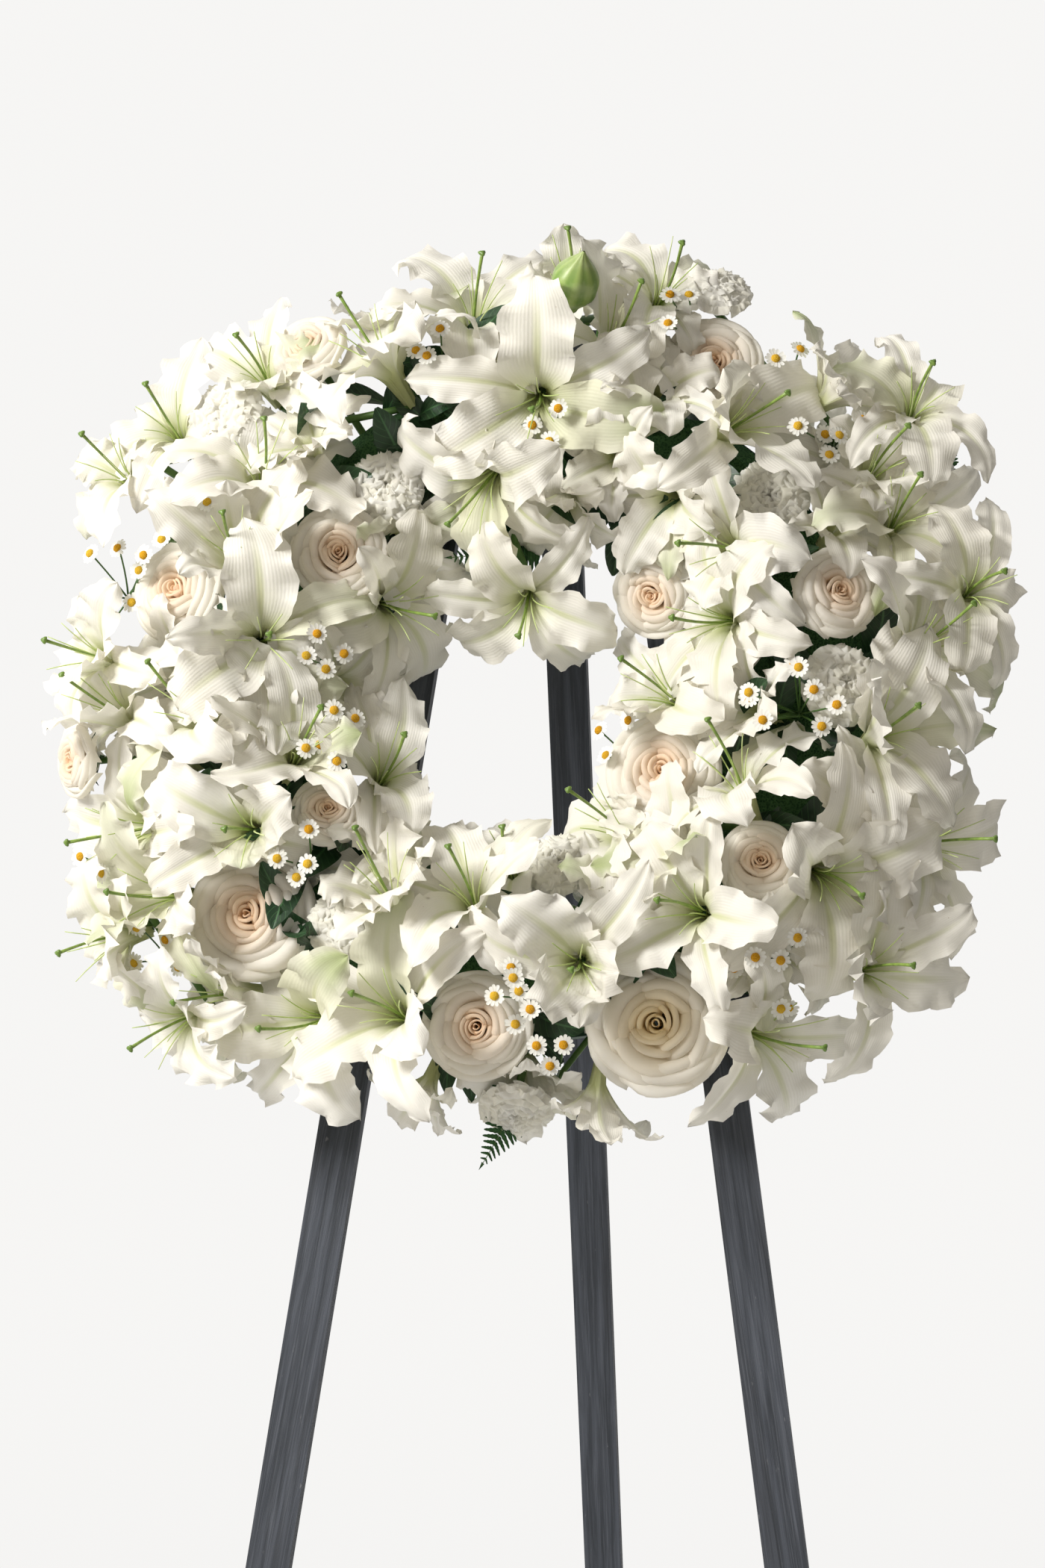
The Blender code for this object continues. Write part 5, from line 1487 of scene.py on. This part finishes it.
def fine_rose(piece, bloom, draw):
    """A many-petalled rose: wrapped petals at the heart, then broad ones whose rims roll back."""
    side, up = bloom.sides()
    radius = bloom.size / 2
    rows_count, columns = ROSE_STEPS
    look = "rose_gold" if bloom.node == "rose_bottom_right" else "rose"
    for ring, (count, rim, span, lip_wide, tuck) in enumerate(ROSE_PETALS):
        for i in range(count):
            middle = bloom.spin + math.tau * (i + 0.5 * (ring % 2)) / count + 0.9 * ring
            middle += draw.uniform(-0.16, 0.16)
            half_span = math.radians(span) / 2 * draw.uniform(0.94, 1.08)
            rim_r = rim * draw.uniform(0.95, 1.05)
            rim_z = rim_height(rim, ROSE_RINGS, 1.0) + draw.uniform(-0.025, 0.035)
            phase = draw.uniform(0.0, math.tau)
            peak = draw.uniform(0.0, 0.08) * (rim > 0.45)
            lip_wide *= draw.uniform(0.85, 1.2)
            hand = 1 if (i + ring) % 3 else -1
            rows = []
            for a in range(rows_count + 1):
                s = a / rows_count
                wall = min(1.0, s / LIP_START)
                lip = max(0.0, (s - LIP_START) / (1.0 - LIP_START))
                row = []
                for b in range(columns + 1):
                    t = 2.0 * b / columns - 1.0
                    turn = middle + t * half_span
                    reach = rim_r * (1.0 + hand * tuck * t)
                    top = rim_z - 0.34 * (rim_z + 0.2) * abs(t) ** 3.0
                    r = 0.10 + (reach - 0.10) * wall ** (0.55 + 0.25 * rim)
                    z = -0.20 + (top + 0.20) * wall**1.25
                    r += lip_wide * math.sin(0.5 * math.pi * lip) * (1.0 + 0.35 * abs(t) ** 2)
                    z += lip_wide * (0.34 * math.sin(math.pi * lip) - (0.20 + 0.55 * rim) * lip**2)
                    point = lip * max(0.0, 1.0 - (2.2 * t) ** 2)
                    r += peak * point
                    z -= 0.5 * peak * point
                    wave = math.sin(3.1 * t + phase) + 0.4 * math.sin(7.3 * t + 2 * phase)
                    r += 0.016 * wave * s * s * (0.4 + rim)
                    z += 0.016 * wave * lip * (0.3 + rim)
                    r = min(r, 1.07) * radius
                    row.append(bloom.at + spoke(side, up, turn) * r + bloom.axis * (z * radius))
                rows.append(row)
            piece.grid(rows, look, rim)
    fine_cup(piece, bloom, ROSE_CUP, 14)
    for i in range(5):
        turn = bloom.spin + math.tau * i / 5
        flat = spoke(side, up, turn)
        across = beside(side, up, turn)
        rows = []
        for r, z, wide in SEPAL:
            middle = bloom.at + flat * (r * radius) + bloom.axis * (z * radius)
            edge = across * (wide * radius)
            rows.append([middle - edge, middle - bloom.axis * 0.0006, middle + edge])
        piece.grid(rows, "leaf", 0.3)


def fine_carnation(piece, bloom, draw):
    """A domed bloom of many petals with closely ruffled, notched rims."""
    side, up = bloom.sides()
    radius = bloom.size / 2
    rows_count, columns = CARNATION_STEPS
    for ring, (count, rim) in enumerate(CARNATION_PETALS):
        for i in range(count):
            middle = bloom.spin + math.tau * (i + 0.5 * (ring % 2)) / count + draw.uniform(-0.22, 0.22)
            half_span = math.radians(28 + 44 * (1 - rim)) * draw.uniform(0.85, 1.15)
            rim_r = rim * draw.uniform(0.92, 1.04)
            rim_z = rim_height(rim, CARNATION_RINGS, 1.0) + draw.uniform(-0.06, 0.05)
            phase = draw.uniform(0.0, math.tau)
            folds = draw.uniform(5.0, 8.0)
            rows = []
            for a in range(rows_count + 1):
                s = a / rows_count
                wall = min(1.0, s / 0.5)
                lip = max(0.0, (s - 0.5) / 0.5)
                row = []
                for b in range(columns + 1):
                    t = 2.0 * b / columns - 1.0
                    wave = math.sin(folds * t + phase)
                    nick = 0.030 * math.sin(2.9 * folds * t + 2 * phase)
                    turn = middle + t * half_span + 0.08 * lip * math.cos(folds * t + phase)
                    top = rim_z - 0.20 * (rim_z + 0.18) * abs(t) ** 3
                    r = 0.08 + (rim_r - 0.08) * wall**0.7 + 0.20 * lip * (1.0 + 0.2 * t * t)
                    z = -0.18 + (top + 0.18) * wall**1.2 - 0.11 * lip**1.5 * (0.3 + rim)
                    r += (0.035 * wave + nick) * lip
                    z += (0.070 * wave + nick) * lip
                    r = min(r, 1.06) * radius
                    row.append(bloom.at + spoke(side, up, turn) * r + bloom.axis * (z * radius))
                rows.append(row)
            piece.grid(rows, "carnation", draw.random())
    fine_cup(piece, bloom, CARNATION_CUP, 12)


def fine_head(piece, hub, at, axis, spin, draw):
    """A chamomile head: domed yellow disc, white rays and a thin stalk from the knot."""
    side = axis.cross(Vector((0.2, 1.0, 0.1))).normalized()
    up = axis.cross(side)
    rows = []
    for i in range(6):
        polar = 0.5 * math.pi * i / 5
        row = []
        for j in range(14):
            a = math.tau * (j + 0.5 * (i % 2)) / 14
            r = DISC_R * math.sin(polar) * (1.0 + 0.05 * math.sin(5 * a + i))
            row.append(at + spoke(side, up, a) * r + axis * (DISC_HIGH * math.cos(polar) + 0.0004))
        rows.append(row)
    piece.grid(rows, "disc", draw.random(), closed=True)
    droop = draw.uniform(-0.0016, 0.0012)
    for i in range(RAYS):
        a = spin + math.tau * (i + draw.uniform(-0.16, 0.16)) / RAYS
        flat = spoke(side, up, a)
        across = beside(side, up, a)
        long = HEAD_R * draw.uniform(0.84, 1.0)
        rows = []
        for s, wide in RAY_HALVES:
            middle = at + flat * (long * s) + axis * (0.0006 + droop * s * s)
            rows.append([middle - across * wide, middle - axis * 0.0003, middle + across * wide])
        piece.grid(rows, "ray", draw.random())
    back = [circle(at - axis * down, axis, wide, 8) for down, wide in HEAD_BACK]
    piece.grid(back, "stem", 0.4, closed=True)
    start = hub + (at - hub).normalized() * HUB_R * 0.4
    bend = start.lerp(at - axis * 0.003, 0.55) - axis * 0.004
    path = []
    for i in range(6):
        share = i / 5
        path.append(start.lerp(bend, share).lerp(bend.lerp(at - axis * 0.002, share), share))
    piece.tube(path, STALK_RADII, "stem", 0.3, sides=5)


def fine_knot(piece, at):
    """The small ball where the stalks of a spray or the blades of a plant meet."""
    rows = []
    for i in range(5):
        polar = math.pi * i / 4
        centre = at + Vector((0.0, 0.0, HUB_R * 0.7 * math.cos(polar)))
        turns = [math.tau * j / 8 for j in range(8)]
        wide = HUB_R * 0.7 * math.sin(polar)
        rows.append([centre + Vector((math.cos(a), math.sin(a), 0.0)) * wide for a in turns])
    piece.grid(rows, "stem", 0.2, closed=True)


BUD_FORWARD = Vector((0.0, 0.0, 0.018))  # in front of the petals around it
BUD_HALF = 0.405  # half width and length as shares of the solid's length
BUD_LONG = 1.18
FROND_PAIRS = 15  # leaflets on each side of a fern's rib


def fine_bud(piece, bloom):
    """A closed lily bud with three grooves down its length."""
    side, up = bloom.sides()
    root = bloom.at + BUD_FORWARD
    rows = []
    for i in range(15):
        share = i / 14
        wide = BUD_HALF * bloom.size * (0.42 + 0.58 * ease(0.0, 0.34, share))
        wide *= (1.0 - ease(0.50, 1.04, share)) ** 0.75
        rise = bloom.axis * (share * BUD_LONG * bloom.size)
        row = []
        for j in range(24):
            a = math.tau * j / 24
            dent = 1.0 - 0.09 * max(0.0, math.cos(3 * a)) ** 6 * ease(0.02, 0.2, share)
            row.append(root + spoke(side, up, a) * (wide * dent) + rise)
        rows.append(row)
    rows.insert(0, [root] * 24)
    piece.grid(rows, "bud", 0.5, closed=True)


def fine_leaf(piece, root, tip, rise, wide, roll, draw):
    """A broad glossy leaf, folded a little along its midrib and waved at its margin."""
    phase = draw.uniform(0.0, math.tau)
    rows = []
    for i in range(13):
        share = i / 12
        here, _, across, normal = blade_frame(root, tip, rise, share, roll)
        half = 0.5 * wide * max(0.03, math.sin(math.pi * min(1.0, share * 0.96 + 0.02)) ** 0.8)
        row = []
        for j in range(9):
            v = 2.0 * j / 8 - 1.0
            lift = 0.20 * half * abs(v) + 0.0012 * v * v * math.sin(9.0 * share + phase + v)
            row.append(here + across * (half * v) + normal * lift)
        rows.append(row)
    piece.grid(rows, "leaf", draw.random())


def fine_frond(piece, root, tip, rise, wide, roll, draw):
    """A fern frond: a thin rib with paired, toothed leaflets that shorten towards the tip."""
    path = [blade_line(root, tip, rise, i / 10) for i in range(11)]
    piece.tube(path, [0.0009 - 0.00006 * i for i in range(11)], "stem", 0.2, sides=5)
    for i in range(FROND_PAIRS):
        share = 0.16 + 0.82 * i / FROND_PAIRS
        here, ahead, across, normal = blade_frame(root, tip, rise, share, roll)
        long = 0.56 * wide * (1.04 - share) * (0.75 + 0.25 * ease(0.1, 0.3, share))
        for hand in (-1, 1):
            way = (across * hand + ahead * 0.55 + normal * draw.uniform(-0.10, 0.16)).normalized()
            broad = (ahead - way * ahead.dot(way)).normalized()
            rows = []
            for j in range(9):
                s = j / 8
                tooth = 1.0 if j % 2 else 0.74
                half = 0.17 * long * max(0.05, (1.0 - s) ** 0.6) * tooth + 0.0004
                middle = here + way * (long * s) - normal * (0.12 * long * s * s)
                rows.append([middle - broad * half, middle - normal * 0.0003, middle + broad * half])
            piece.grid(rows, "fern", draw.random())
    here, ahead, across, _ = blade_frame(root, tip, rise, 0.97, roll)
    rows = [[here - across * 0.0016, here + across * 0.0016], [here + ahead * 0.008] * 2]
    piece.grid(rows, "fern", 0.5)


# The dressing, laid over the same arrangement as the solids
BED_LEAVES = 190
BED_LEAF_LONG = (0.055, 0.095)
BED_LEAF_WIDE = (0.020, 0.034)
BED_TRIES = 900  # places drawn for low lilies; most are taken already
BED_APART = 0.052  # least distance between throats, low blooms and full ones alike
BED_MARGIN = 0.018  # and least distance from a throat to the core of a larger head
BED_LEAN = (-62.0, 84.0)  # degrees out of the ring's middle that a low lily faces
# Low lilies that fill the rim: angle round the ring and lean outwards in degrees, and reach
BED_RIM = (
    (-104, 74, 0.105), (-80, 80, 0.100), (-66, 74, 0.112), (-122, 78, 0.105), (-50, 74, 0.105),
    (-140, 76, 0.100), (46, 70, 0.118), (60, 76, 0.100), (28, 78, 0.100), (8, 80, 0.095),
    (-14, 78, 0.095), (-32, 78, 0.100), (90, 78, 0.095), (112, 76, 0.100), (134, 78, 0.100),
    (156, 80, 0.095), (178, 80, 0.090), (-162, 78, 0.095),
)
BED_REACH = (0.066, 0.080)  # throats' distance from the foam's core
FROND_TURN = {"fern_bottom": math.radians(22.0)}  # these fronds hang straighter than the solid's
FROND_RUN = 1.06  # and reach this much further
BED_SIZE = (0.62, 0.82)
# A node's slot, by the first of these kinds that it has
SLOTS = {"lily": "lily_petal", "rose": "rose_petal", "carnation": "carnation_petal", "twig": "chamomile"}


def own_draw(*words):
    """Draws of a bloom's own, so that a change to one leaves the others alone."""
    return random.Random(" ".join(str(w) for w in words))


def dress_lily(petals, greens, bloom):
    """A lily's six petals where their solids lie, and its pistil."""
    draw = own_draw(bloom.node, round(bloom.at.x, 3), round(bloom.at.y, 3))
    for k in range(6):
        lay = bloom.petals.get(k) or extra_lay(bloom, draw)
        fine_petal(petals, bloom, k, lay, draw)
    fine_pistil(greens, bloom, draw)


def dress_node(node, members, trunks):
    """The flowers of one node as one piece of petals, and one of pistils, stems and leaves."""
    flowers, greens = Piece(), Piece()
    kinds = {bloom.kind for bloom in members}
    for bloom in members:
        draw = own_draw(bloom.kind, round(bloom.at.x, 3), round(bloom.at.y, 3))
        if bloom.kind == "lily":
            dress_lily(flowers, greens, bloom)
        elif bloom.kind == "rose":
            fine_rose(flowers, bloom, draw)
        elif bloom.kind == "carnation":
            fine_carnation(flowers, bloom, draw)
        elif bloom.kind == "bud":
            fine_bud(greens, bloom)
        elif bloom.kind == "twig":
            for at, axis, spin in bloom.heads:
                fine_head(flowers, bloom.at, at, axis, spin, draw)
            fine_knot(flowers, bloom.at)
        else:
            for start, tip, rise, size, roll in bloom.blades:
                if bloom.node in FERNS:
                    if bloom.node in FROND_TURN:
                        turn = Matrix.Rotation(FROND_TURN[bloom.node], 3, "Z")
                        tip = start + turn @ (tip - start) * FROND_RUN
                    fine_frond(flowers, start, tip, rise, size * 1.5, roll, draw)
                else:
                    fine_leaf(flowers, start, tip, rise, size, roll, draw)
            fine_knot(flowers, bloom.at)
    fine_stems(greens, members, trunks)
    plant = "fern_leaf" if node in FERNS else "broad_leaf"
    slot = next((SLOTS[kind] for kind in SLOTS if kind in kinds), plant)
    flowers.build("fine_" + node, slot, [node])
    greens.build("greens_" + node, "broad_leaf", [node])


def bed_spot(draw):
    """A place over the foam's rounded top, and the way out of it there."""
    angle = draw.uniform(0.0, math.tau)
    lean = math.radians(draw.uniform(-80.0, 80.0))
    out = RING_R + 0.050 * math.sin(lean)
    at = Vector((out * math.cos(angle), out * math.sin(angle), CORE_Z + 0.022 + 0.018 * math.cos(lean)))
    flat = Vector((math.cos(angle), math.sin(angle), 0.0))
    return at, (flat * math.sin(lean) + Vector((0.0, 0.0, math.cos(lean)))).normalized()


def leaf_bed():
    """Dark leaves close over the foam, seen in the gaps between the blooms."""
    draw = random.Random(31)
    piece = Piece()
    for _ in range(BED_LEAVES):
        at, way = bed_spot(draw)
        side = way.cross(Vector([draw.uniform(-1, 1) for _ in range(3)])).normalized()
        long = draw.uniform(*BED_LEAF_LONG)
        tip = at + side * long * 0.85 + way * long * draw.uniform(0.15, 0.55)
        wide, roll = draw.uniform(*BED_LEAF_WIDE), draw.uniform(-0.4, 0.4)
        fine_leaf(piece, at, tip, way * 0.014, wide, roll, draw)
    piece.build("bed_leaves", "broad_leaf")


def petal_bed(blooms):
    """Smaller lilies low between the full ones, where no head stands yet."""
    draw = random.Random(47)
    taken = []
    for bloom in blooms:
        if bloom.kind not in ("twig", "root"):
            centre, radius = bloom.ball()
            taken.append((centre, max(BED_APART, radius + BED_MARGIN)))
    piece = Piece()
    for i in range(BED_TRIES):
        angle = draw.uniform(0.0, math.tau)
        lean = math.radians(draw.uniform(*BED_LEAN))
        reach = draw.uniform(*BED_REACH)
        if i < len(BED_RIM):
            turn, tilt, reach = BED_RIM[i]
            angle, lean = math.radians(turn), math.radians(tilt)
        flat = Vector((math.cos(angle), math.sin(angle), 0.0))
        axis = flat * math.sin(lean) + Vector((0.0, 0.0, math.cos(lean)))
        at = flat * RING_R + Vector((0.0, 0.0, CORE_Z)) + axis * reach
        if any((at - centre).length < apart for centre, apart in taken):
            continue
        taken.append((at, BED_APART))
        axis += Vector([draw.uniform(-0.35, 0.35) for _ in range(3)])
        bloom = Bloom("bed", "lily", at, axis, draw.uniform(*BED_SIZE), draw.uniform(0.0, math.tau))
        for k in range(6):
            bend = math.radians(draw.uniform(62.0, 118.0))
            length = PETAL_LONG * bloom.size * draw.uniform(0.78, 1.0)
            fine_petal(piece, bloom, k, (bend, length, math.radians(draw.uniform(-14, 14))), draw)
        path = stem_path(bloom.base(), flat * RING_R + Vector((0.0, 0.0, CORE_Z)) + axis * 0.01)
        piece.tube(path, [STEM_R] * 4, "stem", 0.5)
    piece.build("bed_petals", "lily_petal")


def node_members(blooms, trunks):
    """The blooms and trunks of each node, by name."""
    found = {}
    for bloom in blooms:
        found.setdefault(bloom.node, ([], []))[0].append(bloom)
    for trunk in trunks:
        found.setdefault(trunk.node, ([], []))[1].append(trunk)
    return found


# The way the grain of each board runs, as signs of its box's sides
GRAIN = {
    "front_leg_left": (1, 1, 1),
    "front_leg_right": (-1, 1, 1),
    "rear_leg": (0, 1, -1),
    "top_rail": (1, 0, 0),
    "middle_rail": (1, 0, 0),
}
FINISHES = {
    "wreath_tray": "tray",
    "foam_ring": "foam",
    "hinge_leaf_fixed": "zinc",
    "hinge_leaf_moving": "zinc",
    "wreath_hook": "zinc",
    "hanger_wire": "zinc",
}
WORN_EDGE = 0.0016


def dress_wood():
    """Bare CAD pieces keep their shapes and get their real finish."""
    for name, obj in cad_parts.items():
        if name in GRAIN:
            low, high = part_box(name)
            span = high - low
            wood = wood_look("wood_" + name, [sign * side for sign, side in zip(GRAIN[name], span)])
            for slot in obj.material_slots:
                slot.material = wood
            edge = obj.modifiers.new("worn_edges", "BEVEL")
            edge.width = WORN_EDGE
            edge.segments = 3
        elif name in FINISHES:
            obj.material_slots[0].material = MATERIALS[FINISHES[name]]


# Floor, light and camera
TURN = math.radians(6.4)  # the camera stands a little to the right
LENS = 100.0
DISTANCE = 3.68
TARGET = Vector((-0.0079, -0.29, 1.099))
FLOOR_R = 1.9
FLOOR_Z = -0.0005  # just clear of the feet
KEY_PLACE = (-2.1, -2.3, 2.6)
KEY_TARGET = (0.0, -0.25, 1.1)
KEY_SIZE = 1.1
KEY_POWER = 124.0
KEY_COLOUR = (1.0, 0.985, 0.955)


def stage():
    """A pale round floor under the easel."""
    middle = (0.0, 0.0, FLOOR_Z)
    bpy.ops.mesh.primitive_circle_add(vertices=96, radius=FLOOR_R, fill_type="NGON", location=middle)
    floor = bpy.context.object
    floor.name = "floor"
    look = Look("floor", roughness=0.85, specular=0.2)
    look.colour(look.mix(look.noise(3.0), (0.78, 0.78, 0.77), (0.82, 0.82, 0.81)))
    look.bump(look.noise(120.0), 0.05, 0.001)
    floor.data.materials.append(look.material)


def key_light():
    """A soft lamp at the upper left, in front of the easel."""
    data = bpy.data.lights.new("key", "AREA")
    data.shape = "DISK"
    data.size = KEY_SIZE
    data.energy = KEY_POWER
    data.color = KEY_COLOUR
    obj = bpy.data.objects.new("key", data)
    obj.location = KEY_PLACE
    obj.rotation_euler = (Vector(KEY_TARGET) - Vector(KEY_PLACE)).to_track_quat("-Z", "Y").to_euler()
    bpy.context.scene.collection.objects.link(obj)


# The studio's brightness by direction: axis, from, to, strength there and there; it is full behind the
# easel, lower in front of it and to its right, and lower still below
WORLD_SLOPES = ((1, -0.35, 0.35, 0.56, 1.0), (0, 0.05, 0.80, 1.0, 0.24), (2, -0.9, -0.1, 0.50, 1.0))
FRONT_WARM = (-0.3, 0.3)  # the studio turns from warm in front of the easel to neutral behind it
WARM_GREY = (0.96, 0.895, 0.80)
PALE_GREY = (0.925, 0.918, 0.905)


def studio():
    """The light from all round, by direction, and how it is shown."""
    world = bpy.data.worlds.new("studio")
    bpy.context.scene.world = world
    world.use_nodes = True
    nodes = Nodes(world.node_tree)
    way = nodes.node("ShaderNodeTexCoord").outputs["Generated"]
    parts = nodes.node("ShaderNodeSeparateXYZ", ((0, way),)).outputs
    shade = 1.0
    for axis, *slope in WORLD_SLOPES:
        shade = nodes.times(shade, nodes.step(parts[axis], *slope))
    inputs = (("Value", parts[1]), ("From Min", FRONT_WARM[0]), ("From Max", FRONT_WARM[1]))
    warmth = nodes.node("ShaderNodeMapRange", inputs).outputs[0]
    back = nodes.tree.nodes["Background"]
    nodes.feed(back.inputs["Color"], nodes.mix(warmth, WARM_GREY, PALE_GREY))
    nodes.feed(back.inputs["Strength"], shade)
    bpy.context.scene.view_settings.view_transform = "Standard"


def camera():
    data = bpy.data.cameras.new("camera")
    data.lens = LENS
    obj = bpy.data.objects.new("camera", data)
    obj.location = TARGET + Vector((math.sin(TURN), -math.cos(TURN), 0.0)) * DISTANCE
    obj.rotation_euler = (math.pi / 2, 0.0, TURN)
    bpy.context.scene.collection.objects.link(obj)
    bpy.context.scene.camera = obj


blooms, trunks = arrange()
for node, (members, own_trunks) in node_members(blooms, trunks).items():
    dress_node(node, members, own_trunks)
leaf_bed()
petal_bed(blooms)
dress_wood()
stage()
studio()
key_light()
camera()
